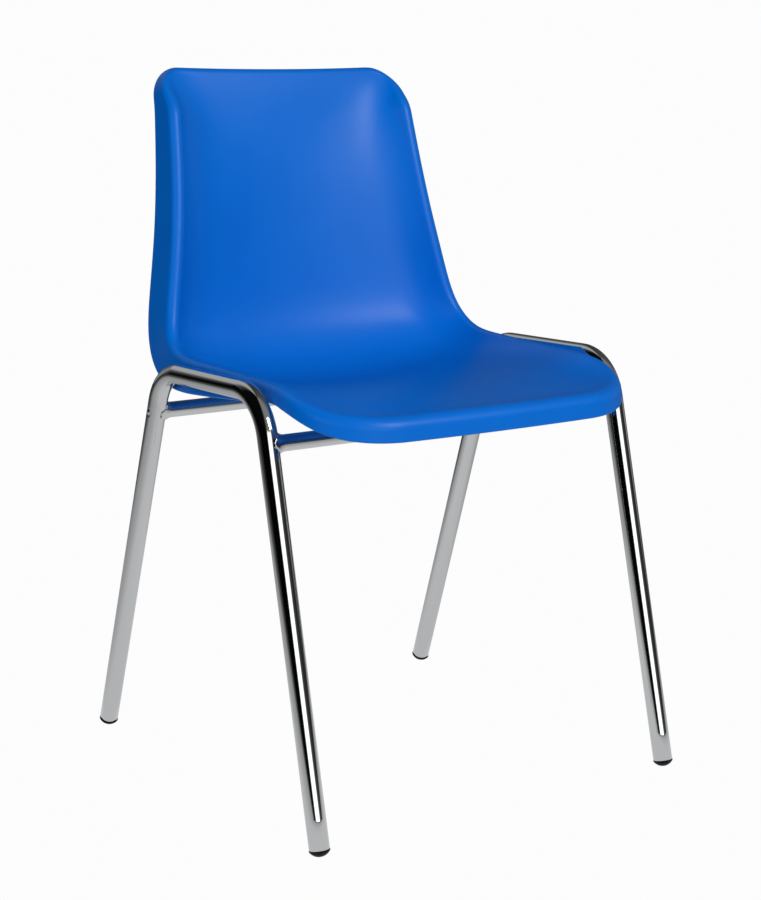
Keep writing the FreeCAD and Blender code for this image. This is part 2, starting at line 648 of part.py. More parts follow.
    def faces(self, thickness):
        """Faces of the +X half, and the top surface inside the crest."""
        spots, shares = self.places()
        sides = []
        ends = []
        for depth in (0, thickness):
            for band in (self.DISH, self.ROLL, self.SKIRT):
                grid = []
                for across in band:
                    row = [self.point(place, across) for place in spots]
                    if depth:
                        row = [spot - self.normal(place, across) * depth for place, spot in zip(spots, row)]
                    grid.append(row)
                sides.append(surface_through(grid, shares))
            ends.append(sides[-1].uIso(sides[-1].bounds()[1]).toShape())
        faces = [side.toShape() for side in sides]
        faces.append(Part.makeRuledSurface(*ends))
        return faces, sides[0]


def curve_through(points, parameters):
    """Cubic curve through points at given parameters."""
    curve = Part.BSplineCurve()
    curve.interpolate(Points=points, Parameters=parameters)
    return curve


def surface_through(grid, shares):
    """Surface through a grid, cubic along its rows, and across them where there are enough rows."""
    rows = [curve_through(row, shares) for row in grid]
    along = rows[0]
    poles = [row.getPoles() for row in rows]
    knots, multiplicities, degree = [0, 1], [2, 2], 1
    if len(grid) > 2:
        steps = [index / (len(grid) - 1) for index in range(len(grid))]
        columns = [curve_through([row[index] for row in poles], steps) for index in range(len(poles[0]))]
        poles = [list(row) for row in zip(*[column.getPoles() for column in columns])]
        across = columns[0]
        knots, multiplicities, degree = across.getKnots(), across.getMultiplicities(), across.Degree
    surface = Part.BSplineSurface()
    surface.buildFromPolesMultsKnots(
        poles, multiplicities, along.getMultiplicities(), knots, along.getKnots(),
        False, False, degree, along.Degree)
    return surface


def mirrored(item):
    """The same shape on the other side of the chair."""
    return item.mirror(FreeCAD.Vector(0, 0, 0), FreeCAD.Vector(1, 0, 0))


def make_skin(half):
    """Closed solid from the faces of the +X half and their mirror images."""
    skin = Part.makeShell(half + [mirrored(face) for face in half])
    skin.sewShape(0.01)
    solid = Part.makeSolid(Part.Shell(skin.Faces))
    if solid.Volume < 0:
        solid.reverse()
    return solid


def make_boss(top, leg):
    """Ribbed boss on the +X side, from the shell's wall down over a cross tube, and its pilot hole."""
    bar_y, bar_z = leg.values()
    up = FreeCAD.Vector(0, 0, 1)
    foot = FreeCAD.Vector(size("screw_half_spacing"), bar_y, bar_z + size("bar_diameter") / 2)
    line = Part.makeLine(foot, foot + up * size("shell_length"))
    wall_point = top.toShape().distToShape(line)[1][0][0]
    out = top.normal(*top.parameter(wall_point))
    out = out * math.copysign(1, out.z)
    foot.z -= size("boss_overlap")
    long = size("boss_rib_reach")
    reach = wall_point.z - foot.z + long
    rib = size("boss_rib")
    boss = Part.makeCylinder(size("boss_diameter") / 2, reach, foot, up)
    rib_along = Part.makeBox(2 * long, rib, reach, foot - FreeCAD.Vector(long, rib / 2, 0))
    rib_across = Part.makeBox(rib, 2 * long, reach, foot - FreeCAD.Vector(rib / 2, long, 0))
    block = 4 * long
    above = Part.makeBox(block, block, block, FreeCAD.Vector(-block / 2, -block / 2, 0))
    middle = wall_point - out * (size("shell_thickness") / 2)
    above.Placement = FreeCAD.Placement(middle, FreeCAD.Rotation(up, out))
    saddle = Part.makeCylinder(
        size("bar_diameter") / 2 + size("saddle_gap"), block,
        FreeCAD.Vector(foot.x - block / 2, bar_y, bar_z), FreeCAD.Vector(1, 0, 0))
    head = bar_z - size("bar_diameter") / 2 - size("washer_thickness")
    pilot = Part.makeCylinder(
        size("screw_diameter") / 2 + size("fit_gap"), size("screw_length") + size("fit_gap"),
        FreeCAD.Vector(foot.x, bar_y, head), up)
    return boss.multiFuse([rib_along, rib_across]).cut(above).cut(saddle), pilot


def make_shell():
    """Moulded shell: the skin with four bosses that stand on the cross tubes."""
    half, top = ShellShape().faces(size("shell_thickness"))
    solid = make_skin(half)
    bosses = []
    pilots = []
    for leg in (FRONT, REAR):
        boss, pilot = make_boss(top, leg)
        bosses += [boss, mirrored(boss)]
        pilots += [pilot, mirrored(pilot)]
    shell = doc.addObject("Part::Feature", "seat_shell")
    shell.Shape = solid.multiFuse(bosses).cut(pilots)
    shell.Placement = FreeCAD.Placement()
    shell.Label = "seat_shell"
    return shell


# ---------------------------------------------------------------- the chair
nodes = [make_shell()]
nodes += [make_side_frame(side_name, side) for side_name, side in SIDES]
nodes += [make_cross_tube(leg) for leg in (FRONT, REAR)]
nodes += [make_foot(side_name, side, leg) for leg in (FRONT, REAR) for side_name, side in SIDES]
nodes += make_fasteners()
doc.recompute()

for item in doc.Objects:
    if "Invalid" in item.State or "Error" in item.State:
        raise RuntimeError(f"{item.Label} did not build: {item.State}")
for node in nodes:
    if node.Shape.isNull() or not node.Shape.isValid() or not node.Shape.Solids:
        raise RuntimeError(f"{node.Label} has no valid solid")

os.makedirs("parts", exist_ok=True)
for node in nodes:
    node.Shape.exportStep(f"parts/{node.Label}.step")
    print(node.Label, len(node.Shape.Solids), round(node.Shape.Volume / 1000, 1), "cm3")
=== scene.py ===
"""Looks of a stacking chair: a moulded seat shell on two chromed hoops joined by two cross tubes."""

import logging
import math
from dataclasses import dataclass, field
from enum import Enum
from typing import Optional, Sequence, Tuple

import bmesh
import bpy
import numpy as np
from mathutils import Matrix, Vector


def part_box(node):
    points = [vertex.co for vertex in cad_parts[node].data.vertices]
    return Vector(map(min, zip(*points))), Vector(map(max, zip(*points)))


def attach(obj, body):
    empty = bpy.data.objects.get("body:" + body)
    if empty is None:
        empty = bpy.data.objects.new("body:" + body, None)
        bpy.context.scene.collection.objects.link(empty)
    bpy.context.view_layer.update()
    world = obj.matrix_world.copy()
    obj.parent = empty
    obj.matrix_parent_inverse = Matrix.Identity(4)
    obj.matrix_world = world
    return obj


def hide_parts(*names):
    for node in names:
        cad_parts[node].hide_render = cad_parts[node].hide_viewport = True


Array = np.ndarray
Pair, Triple, Row = Tuple[float, float], Tuple[float, float, float], Tuple[float, ...]
Stops = Tuple[Pair, ...]
Tree, Socket = bpy.types.NodeTree, bpy.types.NodeSocket
Piece, Material = bpy.types.Object, bpy.types.Material

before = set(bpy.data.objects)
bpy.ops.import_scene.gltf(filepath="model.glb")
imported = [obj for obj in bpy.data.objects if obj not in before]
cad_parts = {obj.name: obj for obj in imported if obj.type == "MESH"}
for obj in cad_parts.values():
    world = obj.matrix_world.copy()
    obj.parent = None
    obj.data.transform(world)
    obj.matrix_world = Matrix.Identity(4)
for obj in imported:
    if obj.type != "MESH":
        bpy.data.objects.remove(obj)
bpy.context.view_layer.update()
ROOT = "root"
MM = 0.001
MERGE = 2e-6
PALE = (0.98, 0.98, 0.98, 1)
log = logging.getLogger("stacking_chair")


class End(Enum):
    """End of the chair, and which way along Y it lies."""

    FRONT = -1
    REAR = 1


class Side(Enum):
    """Side of the chair, and which way along X it lies."""

    RIGHT = -1
    LEFT = 1


# ---- meshes
def mesh_piece(
    name: str, grids: Sequence[Array], material: Material, ring: bool = False
) -> Piece:
    """Make one piece from closed surfaces given as grids of points.

    Every row of a grid is joined up, last point to first. Coincident points are merged, which closes
    poles and seams, and the faces are then turned outwards.

    Args:
        name: Name of the piece.
        grids: Arrays of shape (rows, columns, 3), in millimetres.
        material: Finish of the piece.
        ring: Whether the last row is joined to the first as well.

    Returns:
        The new object, at the origin, in metres.
    """
    points, faces, start = [], [], 0
    for grid in grids:
        rows, columns = grid.shape[:2]
        index = np.arange(rows * columns).reshape(rows, columns) + start
        down, right = np.roll(index, -1, axis=0), np.roll(index, -1, axis=1)
        quads = np.stack([index, right, np.roll(down, -1, axis=1), down], axis=-1)
        faces.append((quads if ring else quads[:-1]).reshape(-1, 4))
        points.append(grid.reshape(-1, 3) * MM)
        start += rows * columns
    mesh = bpy.data.meshes.new(name)
    mesh.from_pydata(np.concatenate(points), [], np.concatenate(faces).tolist())
    body = bmesh.new()
    body.from_mesh(mesh)
    bmesh.ops.remove_doubles(body, verts=body.verts, dist=MERGE)
    bmesh.ops.recalc_face_normals(body, faces=body.faces)
    body.to_mesh(mesh)
    body.free()
    mesh.shade_smooth()
    mesh.materials.append(material)
    piece = bpy.data.objects.new(name, mesh)
    bpy.context.scene.collection.objects.link(piece)
    return piece


def settle(piece: Piece, node: str, line_up: Triple = (0.5, 0.5, 0.5)) -> None:
    """Move a piece's mesh so that its box lines up with the box of the CAD node it stands for.

    Args:
        piece: The piece to move.
        node: CAD node.
        line_up: For each axis the share of the box that is lined up, 0 its low side and 1 its high side.
    """
    places = np.empty(len(piece.data.vertices) * 3)
    piece.data.vertices.foreach_get("co", places)
    places = places.reshape(-1, 3)
    low, high = (np.array(corner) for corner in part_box(node))
    share = np.array(line_up)
    shift = low + share * (high - low) - places.min(0) - share * (places.max(0) - places.min(0))
    piece.data.vertices.foreach_set("co", (places + shift).ravel())
    piece.data.update()
    gap = np.abs(np.stack([places.min(0) + shift - low, places.max(0) + shift - high])).max() / MM
    log.info("%s settled by %s mm, box within %.2f mm of %s", piece.name, np.round(shift / MM, 2), gap, node)


def hand_over(piece: Piece, slot: str, *nodes: str) -> None:
    """Let a piece ride on the chair and stand for its CAD nodes, which are hidden; the slot name is only
    logged.
    """
    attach(piece, ROOT)
    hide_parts(*nodes)
    log.info("%s: %d faces, slot %s, for %s", piece.name, len(piece.data.polygons), slot, ", ".join(nodes))


def ease(value: Array) -> Array:
    """Smooth step from 0 to 1 with level ends: 6 v^5 - 15 v^4 + 10 v^3."""
    value = np.clip(value, 0.0, 1.0)
    return value**3 * (value * (6 * value - 15) + 10)


def circle(count: int) -> Array:
    """Angles evenly spaced once round, in radians."""
    return np.linspace(0, 2 * math.pi, count, endpoint=False)


def turned(radius: Array, height: Array, count: int) -> Array:
    """Surface of revolution: each profile point (radius, height) goes round Z in count steps."""
    angle = circle(count)
    radius, height = np.asarray(radius, float)[:, None], np.asarray(height, float)[:, None]
    return np.stack([radius * np.cos(angle), radius * np.sin(angle), height + 0 * angle], axis=-1)


# ---- finishes
def linear(code: str) -> Tuple[float, float, float, float]:
    """Turn an sRGB hex code into linear red, green, blue and a full alpha."""
    parts = np.array([int(code[i : i + 2], 16) for i in (1, 3, 5)]) / 255
    parts = np.where(parts <= 0.04045, parts / 12.92, ((parts + 0.055) / 1.055) ** 2.4)
    return (*[float(part) for part in parts], 1.0)


def add_node(
    tree: Tree, kind: str, settings: Optional[dict] = None, links: Optional[dict] = None
) -> bpy.types.Node:
    """Add a node with its settings and links.

    Args:
        tree: Tree that takes the node.
        kind: Type of the node, without the ShaderNode in front.
        settings: Values by socket name or number, or by property name.
        links: Output sockets by the name or number of the input they feed.

    Returns:
        The node.
    """
    node = tree.nodes.new("ShaderNode" + kind)
    for key, value in (settings or {}).items():
        if isinstance(key, int) or key in node.inputs:
            node.inputs[key].default_value = value
        else:
            setattr(node, key, value)
    for key, output in (links or {}).items():
        tree.links.new(output, node.inputs[key])
    return node


def new_tree(name: str) -> Tuple[Material, Tree]:
    """Start a material with an empty node tree."""
    material = bpy.data.materials.new(name)
    material.use_nodes = True
    material.node_tree.nodes.clear()
    return material, material.node_tree


def set_stops(ramp: bpy.types.Node, stops: Sequence[Pair]) -> None:
    """Give a ramp node grey stops, each a place and a brightness."""
    while len(ramp.color_ramp.elements) < len(stops):
        ramp.color_ramp.elements.new(0.5)
    for element, (place, value) in zip(ramp.color_ramp.elements, stops):
        element.position, element.color = place, (value, value, value, 1)


def noise(tree: Tree, where: Socket, scale: float, detail: float):
    """Noise at a place, with scale in waves per metre."""
    return add_node(tree, "TexNoise", {"Scale": scale, "Detail": detail}, {"Vector": where}).outputs["Fac"]


def spread(tree: Tree, share: Socket, low: float, high: float):
    """Carry a share from 0 to 1 onto the range from low to high."""
    return add_node(tree, "MapRange", {"To Min": low, "To Max": high}, {"Value": share}).outputs[0]


def blend(tree: Tree, share: Socket, colour: str, other: str):
    """Mix two hex colours by a share."""
    tones = {"data_type": "RGBA", 6: linear(colour), 7: linear(other)}
    return add_node(tree, "Mix", tones, {0: share}).outputs[2]


def relief(tree: Tree, height: Socket, strength: float, depth_mm: float):
    """Turn a height into a bump of the given depth."""
    return add_node(
        tree, "Bump", {"Strength": strength, "Distance": depth_mm * MM}, {"Height": height}).outputs[0]


def show(tree: Tree, settings: dict, colour, rough, normal) -> None:
    """End a material's tree with its shader and output. A colour is a fixed value or a socket."""
    links = {"Roughness": rough, "Normal": normal}
    if isinstance(colour, tuple):
        settings = {**settings, "Base Color": colour}
    else:
        links["Base Color"] = colour
    surface = add_node(tree, "BsdfPrincipled", settings, links)
    add_node(tree, "OutputMaterial", {}, {"Surface": surface.outputs[0]})


@dataclass(frozen=True)
class MouldedPolypropylene:
    """Dyed polypropylene, injection moulded in a spark-eroded mould.

    The mould's pebbled texture gives a soft satin sheen with a fine sparkle, and the dye settles very
    slightly unevenly. The real grain is about 0.8 mm; it is drawn at 1.5 mm so that it shows.
    """

    colour: str = "#0069CE"
    shade: str = "#0064C6"
    roughness: float = 0.36
    specular: float = 0.18
    grain_mm: float = 1.5
    grain_depth_mm: float = 0.05
    flow_mm: float = 60.0
    pebble_softness: float = 0.6
    sparkle: float = 2.2
    gloss_range: Pair = (-0.03, 0.04)
    ior: float = 1.49

    def material(self) -> Material:
        """Build the node tree: two dye tones in slow swirls, and a pebbled bump in two sizes."""
        material, tree = new_tree("polypropylene_pebbled_blue")
        where = add_node(tree, "TexCoord").outputs["Object"]
        flow = noise(tree, where, 1000 / self.flow_mm, 3.0)
        pebble = add_node(
            tree, "TexVoronoi",
            {"feature": "SMOOTH_F1", "Scale": 1000 / self.grain_mm, "Smoothness": self.pebble_softness},
            {"Vector": where})
        fine = noise(tree, where, 1000 * self.sparkle / self.grain_mm, 2.0)
        height = add_node(tree, "Math", {"operation": "ADD"}, {0: pebble.outputs["Distance"], 1: fine})
        show(
            tree, {"IOR": self.ior, "Specular IOR Level": self.specular},
            blend(tree, flow, self.colour, self.shade),
            spread(tree, fine, *(self.roughness + part for part in self.gloss_range)),
            relief(tree, height.outputs[0], 0.5, self.grain_depth_mm))
        return material


@dataclass(frozen=True)
class ChromePlate:
    """Steel tube, polished and plated with bright nickel and chromium.

    The plating mirrors the room sharply; the tube under it was drawn and polished along its length,
    which leaves a very shallow ripple about 18 mm long and a haze too thin to see as lines.
    """

    colour: str = "#C6C8C9"
    roughness: float = 0.03
    ripple_mm: float = 18.0
    ripple_depth_mm: float = 0.02
    haze_scale: float = 400.0
    haze_gain: float = 2.2

    def material(self) -> Material:
        """Build the node tree: a mirror metal with a slight haze and a shallow ripple."""
        material, tree = new_tree("chrome_plate_on_steel")
        where = add_node(tree, "TexCoord").outputs["Object"]
        ripple = noise(tree, where, 1000 / self.ripple_mm, 1.0)
        haze = noise(tree, where, self.haze_scale, 4.0)
        show(
            tree, {"Metallic": 1.0}, linear(self.colour),
            spread(tree, haze, self.roughness, self.roughness * self.haze_gain),
            relief(tree, ripple, 0.5, self.ripple_depth_mm))
        return material


@dataclass(frozen=True)
class BlackPolyethylene:
    """Black polyethylene plug, moulded smooth: near black with a waxy sheen and light scuffs under it."""

    colour: str = "#050506"
    scuff: str = "#121213"
    roughness: float = 0.38
    specular: float = 0.1
    scuff_scale: float = 330.0
    scuff_depth_mm: float = 0.03
    gloss_range: Pair = (-0.06, 0.15)
    ior: float = 1.51

    def material(self) -> Material:
        """Build the node tree: black with greyer scuffs about 3 mm across and a fine grain."""
        material, tree = new_tree("polyethylene_black")
        where = add_node(tree, "TexCoord").outputs["Object"]
        scuffs = noise(tree, where, self.scuff_scale, 5.0)
        share = add_node(
            tree, "MapRange", {"From Min": 0.55, "From Max": 0.75, "To Max": 0.7}, {"Value": scuffs})
        show(
            tree, {"IOR": self.ior, "Specular IOR Level": self.specular},
            blend(tree, share.outputs[0], self.colour, self.scuff),
            spread(tree, scuffs, *(self.roughness + part for part in self.gloss_range)),
            relief(tree, scuffs, 0.4, self.scuff_depth_mm))
        return material


@dataclass(frozen=True)
class ZincPlate:
    """Steel screws and washers, zinc plated in a barrel: dull silver with a cloudy, slightly uneven bloom."""

    colour: str = "#B4B8BC"
    bloom: str = "#8E9398"
    roughness: float = 0.32
    cloud_scale: float = 500.0
    cloud_depth_mm: float = 0.02
    gloss_range: Pair = (-0.08, 0.12)

    def material(self) -> Material:
        """Build the node tree: two metal tones in clouds about 2 mm across, and a barrel-tumbled bump."""
        material, tree = new_tree("zinc_plate_on_steel")
        where = add_node(tree, "TexCoord").outputs["Object"]
        cloud = noise(tree, where, self.cloud_scale, 4.0)
        show(
            tree, {"Metallic": 1.0}, blend(tree, cloud, self.colour, self.bloom),
            spread(tree, cloud, *(self.roughness + part for part in self.gloss_range)),
            relief(tree, cloud, 0.4, self.cloud_depth_mm))
        return material


# ---- seat shell
class SmoothRun:
    """Natural cubic spline through a few stations."""

    def __init__(self, stations: Sequence[float], values: Sequence[float]) -> None:
        """Solve for the second derivatives that keep the slope steady at the inner stations."""
        self.stations, self.values = np.array(stations, float), np.array(values, float)
        gaps = np.diff(self.stations)
        slopes = np.diff(self.values) / gaps
        count = len(self.stations)
        system = np.eye(count)
        rows = np.arange(1, count - 1)
        system[rows, rows - 1], system[rows, rows + 1] = gaps[:-1], gaps[1:]
        system[rows, rows] = 2 * (gaps[:-1] + gaps[1:])
        self.bends = np.linalg.solve(system, np.concatenate([[0], 6 * np.diff(slopes), [0]]))

    def at(self, place: Array) -> Array:
        """Value at each place, held at the end values outside the stations."""
        place = np.clip(place, self.stations[0], self.stations[-1])
        i = np.clip(np.searchsorted(self.stations, place, side="left") - 1, 0, len(self.stations) - 2)
        gap = self.stations[i + 1] - self.stations[i]
        low = (self.stations[i + 1] - place) / gap
        high = 1 - low
        bend = (low**3 - low) * self.bends[i] + (high**3 - high) * self.bends[i + 1]
        return low * self.values[i] + high * self.values[i + 1] + bend * gap**2 / 6


@dataclass
class SeatShell:
    """One-piece seat and back, and the bosses under it. Sizes are in millimetres and degrees."""

    length: float = 723.0
    thickness: float = 4.0
    front_reach: float = 229.5
    front_height: float = 442.5
    seat_fall: float = 5.6
    front_rise: float = 14.3
    back_rise: float = 82.9
    bend_start: float = 257.0
    bend_end: float = 497.0
    half_widths: Row = (215.0, 202.0, 204.5, 175.5, 158.5)
    crests: Row = (22.5, 25.5, 48.0, 45.0, 27.5)
    skirts: Row = (-4.0, 27.5, 35.5, 22.0)
    front_corner: float = 85.5
    top_corner: float = 26.5
    front_blend: float = 127.0
    top_blend: float = 76.0
    top_lead: float = 28.0
    front_bow: float = 6.0
    top_bow: float = -3.0
    front_lip: float = 4.5
    top_lip: float = -3.0
    rolls: Triple = (9.3, 13.0, 7.5)
    front_skirt: float = 13.5
    top_skirt: float = 6.0
    skirt_angle: float = 82.0
    dish_band: float = 60.0
    dish_power: float = 3.0
    bowl_share: float = 0.6
    bowl_fade: float = 150.0
    spine_inset: float = 60.0
    rim_round: float = 1.3
    spans: Tuple[int, ...] = (26, 46, 130, 34, 22)
    rim_sweep: Row = (25, 55, 90, 125, 155)
    width_stations: Row = (0, 0.2, 0.5, 0.75, 1)
    skirt_stations: Row = (0, 0.35, 0.6, 1)
    soft_across: Row = (0.3, 0.25, 0.99, 0.12)
    soft_along: Row = (2.6, 0.35, 4.8, 0.4)
    soft_passes: int = 400
    width: SmoothRun = field(init=False)
    crest: SmoothRun = field(init=False)
    skirt: SmoothRun = field(init=False)

    def __post_init__(self) -> None:
        """Set up the runs of width, crest and skirt, the middle line and the outline's lengths."""
        share = np.array(self.width_stations)
        self.width = SmoothRun(share * self.length, self.half_widths)
        self.crest = SmoothRun(share * self.length, self.crests)
        self.skirt = SmoothRun(np.array(self.skirt_stations) * self.length, self.skirts)
        step = 0.5
        self.line_b = np.arange(-60, self.length + 60, step)
        turn = self.heading(self.line_b[:-1] + step / 2)
        line_y = np.concatenate([[0], np.cumsum(np.cos(turn) * step)])
        line_z = np.concatenate([[0], np.cumsum(np.sin(turn) * step)])
        self.line_y = line_y - np.interp(0, self.line_b, line_y) - self.front_reach
        self.line_z = line_z - np.interp(0, self.line_b, line_z) + self.front_height
        self.front_width = float(self.width.at(np.array(self.front_corner)))
        self.top_width = float(self.width.at(np.array(self.length - self.top_corner)))
        coarse = np.linspace(0, 1, 41)
        runs = [np.stack(self.stretch(np.full(41, index), coarse)) for index in range(len(self.spans))]
        self.stretch_lengths = [float(np.hypot(*np.diff(run)).sum()) for run in runs]

    def heading(self, b: Array) -> Array:
        """Direction of the middle line, in radians above level.

        It is the seat's fall, turned by an eased step into the back's rise between the two ends of
        the bend, plus a rise towards the front edge that grows with the square of the way there.
        """
        b = np.clip(b, 0, self.length)
        turned_in = ease((b - self.bend_start) / (self.bend_end - self.bend_start))
        angle = (self.seat_fall + self.back_rise) * turned_in - self.seat_fall
        return np.radians(angle + self.front_rise * np.maximum(1 - b / self.bend_start, 0) ** 2)

    def stretch(self, index: Array, t: Array) -> Tuple[Array, Array]:
        """Flat outline (a, b) in five stretches: front edge, quarter-round corner, side, corner, top edge.

        The edges bow by a parabola, and each corner is a quarter circle whose end meets that parabola.
        The top corners lean with the sides, so that side and corner run into each other without a kink.
        """
        front_run, top_run = self.front_width - self.front_corner, self.half_widths[-1] - self.top_corner
        turn = t * math.pi / 2
        a_front = np.where(index == 0, t * front_run, front_run + self.front_corner * np.sin(turn))
        b_front = self.front_bow * (a_front / self.front_width) ** 2
        b_front = b_front + np.where(index == 0, 0, (self.front_corner - self.front_bow) * (1 - np.cos(turn)))
        b_side = self.front_corner + t * (self.length - self.front_corner - self.top_corner)
        a_corner = self.width.at(self.length - self.top_corner * (1 - np.sin(turn)))
        a_corner = a_corner - self.top_corner * (1 - np.cos(turn))
        a_top = np.where(index == 4, (1 - t) * top_run, a_corner)
        b_top = self.length - self.top_bow * (a_top / self.top_width) ** 2
        b_top = b_top - np.where(index == 4, 0, (self.top_corner - self.top_bow) * (1 - np.sin(turn)))
        a = np.where(index < 2, a_front, np.where(index > 2, a_top, self.width.at(b_side)))
        b = np.where(index < 2, b_front, np.where(index > 2, b_top, b_side))
        return a, b

    def outline(self, place: Array) -> Tuple[Array, ...]:
        """Outline point, outward direction and share of the way round, where place counts stretches."""
        index = np.clip(np.floor(place).astype(int), 0, 4)
        t = place - index
        a, b = self.stretch(index, t)
        starts = np.concatenate([[0], np.cumsum(self.stretch_lengths)])
        share = (starts[index] + t * np.array(self.stretch_lengths)[index]) / starts[-1]
        a0, b0 = self.stretch(index, np.maximum(t - 1e-4, 0))
        a1, b1 = self.stretch(index, np.minimum(t + 1e-4, 1))
        step = np.hypot(a1 - a0, b1 - b0)
        out_a, out_b = (b1 - b0) / step, (a0 - a1) / step
        ends = (place <= 0) | (place >= 5)
        out_b = np.where(place <= 0, -1, np.where(place >= 5, 1, out_b))
        return np.where(ends, 0, a), b, np.where(ends, 0, out_a), out_b, share

    def bend(self, a: Array, b: Array, height: Array) -> Array:
        """Carry flat points to the bent shell: along the middle line, then out along its normal by height."""
        turn = self.heading(b)
        y = np.interp(b, self.line_b, self.line_y) - np.sin(turn) * height
        z = np.interp(b, self.line_b, self.line_z) + np.cos(turn) * height
        return np.stack([a + 0 * y, y, z], axis=-1)

    def bowl(self, a: Array, b: Array) -> Array:
        """Height of the hollow: a parabola across, up to a share of the side crest, run out at both ends."""
        depth = self.crest.at(b) * ease(b / self.bowl_fade) * ease((self.length - b) / self.bowl_fade)
        return self.bowl_share * depth * (a / self.width.at(b)) ** 2

    def wall_lean(
        self, a: Array, b: Array, out_a: Array, out_b: Array, height: Array
    ) -> Array:
        """Slope angle at the outline: the hollow's rise over the last millimetre plus that of the wall."""
        base = self.bowl(a, b)
        slope = base - self.bowl(a - out_a, b - out_b)
        return np.arctan(slope + (height - base) * self.dish_power / self.dish_band)

    def point(self, place: Array, across: Array) -> Array:
        """Top surface of the +X half.

        across 0 to 1 runs from the spine to the foot of the bead: the hollow plus a wall that grows with
        a power of the way through the dish band. 1 to 2 goes over the bead on an arc, from the wall's
        own slope to the skirt's. 2 to 3 goes straight down the skirt.
        """
        a, b, out_a, out_b, share = self.outline(place)
        front = ease(1 - b / self.front_blend)
        past = share * sum(self.stretch_lengths) - sum(self.stretch_lengths[:3])
        top = ease((past + self.top_lead) / self.top_blend)
        side = (1 - front) * (1 - top)
        crest = side * self.crest.at(b) + front * self.front_lip + top * self.top_lip
        roll = side * self.rolls[0] + front * self.rolls[1] + top * self.rolls[2]
        skirt = side * self.skirt.at(b) + front * self.front_skirt + top * self.top_skirt - self.rim_round
        spine = self.spine_of(share)
        inner = np.minimum(across, 1)
        lean = self.wall_lean(a, b, out_a, out_b, crest)
        lean = self.wall_lean(a, b, out_a, out_b, crest - roll * (1 - np.cos(lean)))
        foot_a, foot_b = a - out_a * roll * np.sin(lean), b - out_b * roll * np.sin(lean)
        inside = (1 - inner) * (foot_a * out_a + (foot_b - spine) * out_b)
        wall = np.maximum(1 - inside / self.dish_band, 0) ** self.dish_power
        rise = crest - roll * (1 - np.cos(lean)) - self.bowl(foot_a, foot_b)
        inner_a, inner_b = foot_a * inner, spine + (foot_b - spine) * inner
        over = np.clip(across - 1, 0, 1)
        turn = math.radians(self.skirt_angle) * over - lean * (1 - over)
        down = np.maximum(across - 2, 0) * skirt
        outward = roll * np.sin(turn) + down * np.cos(turn)
        bead = crest - roll * (1 - np.cos(turn)) - down * np.sin(turn)
        flat_a = np.where(across < 1, inner_a, a + out_a * outward)
        flat_b = np.where(across < 1, inner_b, b + out_b * outward)
        hollow = self.bowl(inner_a, inner_b) + rise * wall
        return self.bend(flat_a, flat_b, np.where(across < 1, hollow, bead))

    def frame_at(self, place: Array, across: Array) -> Tuple[Array, Array]:
        """Unit normal out of the top surface, and unit direction across it, from small steps both ways."""
        step = 1e-3
        along = self.point(np.minimum(place + step, 5), across)
        along = along - self.point(np.maximum(place - step, 0), across)
        over = self.point(place, np.minimum(across + step, 3))
        over = over - self.point(place, np.maximum(across - step, 0))
        normal = np.cross(over, along)
        edge = (place <= 0) | (place >= 5)
        normal[..., 0] = np.where(edge, 0, normal[..., 0])
        spine = self.heading(self.spine_of(self.outline(place)[4]))
        middle = np.stack([0 * spine, -np.sin(spine), np.cos(spine)], axis=-1)
        normal = np.where((across <= 0)[..., None], middle, normal)
        return tuple(way / np.linalg.norm(way, axis=-1, keepdims=True) for way in (normal, over))

    def spine_of(self, share: Array) -> Array:
        """Place along the middle of the shell where the line to an outline point starts."""
        eased = ease(0.5 * share + 0.5 * share**2 * (3 - 2 * share))
        return self.spine_inset + (self.length - 2 * self.spine_inset) * (0.15 * share + 0.85 * eased)

    def soften(self, patch: Array, along: Array, across: Array) -> Array:
        """Blend the side wall into the top wall inside the top corners.

        Each point there moves half way to the mean of its four neighbours, time after time, by a weight
        that eases to nothing towards the bead, the middle of the shell and the ends of the corner.
        """
        weight = 0.5
        for way, (start, rise, end, fall) in ((across, self.soft_across), (along, self.soft_along)):
            weight = weight * ease((way - start) / rise) * ease((end - way) / fall)
        weight = weight[1:-1, 1:-1, None]
        patch = patch.copy()
        for _ in range(self.soft_passes):
            around = patch[2:, 1:-1] + patch[:-2, 1:-1] + patch[1:-1, 2:] + patch[1:-1, :-2]
            patch[1:-1, 1:-1] += weight * (around / 4 - patch[1:-1, 1:-1])
        return patch

    def half(self) -> Array:
        """Closed section of the +X half: top surface, rounded rim, and under surface a wall below.

        The rim is a half ellipse between the two surfaces, from its middle out along the skirt.
        """
        place = np.concatenate([i + np.arange(n) / n for i, n in enumerate(self.spans)] + [[5.0]])
        dish = np.concatenate([np.linspace(0, 0.6, 16), np.linspace(0.6, 1, 30)[1:]])
        top = np.concatenate([dish, np.linspace(1, 2, 17)[1:], np.linspace(2, 3, 9)[1:]])
        under = top[::-1][np.r_[0:20:2, 20 : len(top)]]
        across, along = np.meshgrid(top, place, indexing="ij")
        surface = self.point(along, across)
        rows = len(dish)
        surface[:rows] = self.soften(surface[:rows], along[:rows], across[:rows])
        rim_place = place[None, :]
        normal, over = self.frame_at(rim_place, np.full_like(rim_place, 3.0))
        edge = self.point(rim_place, np.full_like(rim_place, 3.0)) - normal * self.thickness / 2
        sweep = np.radians(self.rim_sweep)[:, None, None]
        rim = edge + normal * self.thickness / 2 * np.cos(sweep) + over * self.rim_round * np.sin(sweep)
        across, along = np.meshgrid(under, place, indexing="ij")
        below = self.point(along, across) - self.frame_at(along, across)[0] * self.thickness
        below[-rows:] = self.soften(below[-rows:], along[-rows:], across[-rows:])
        return np.concatenate([surface, rim, below])

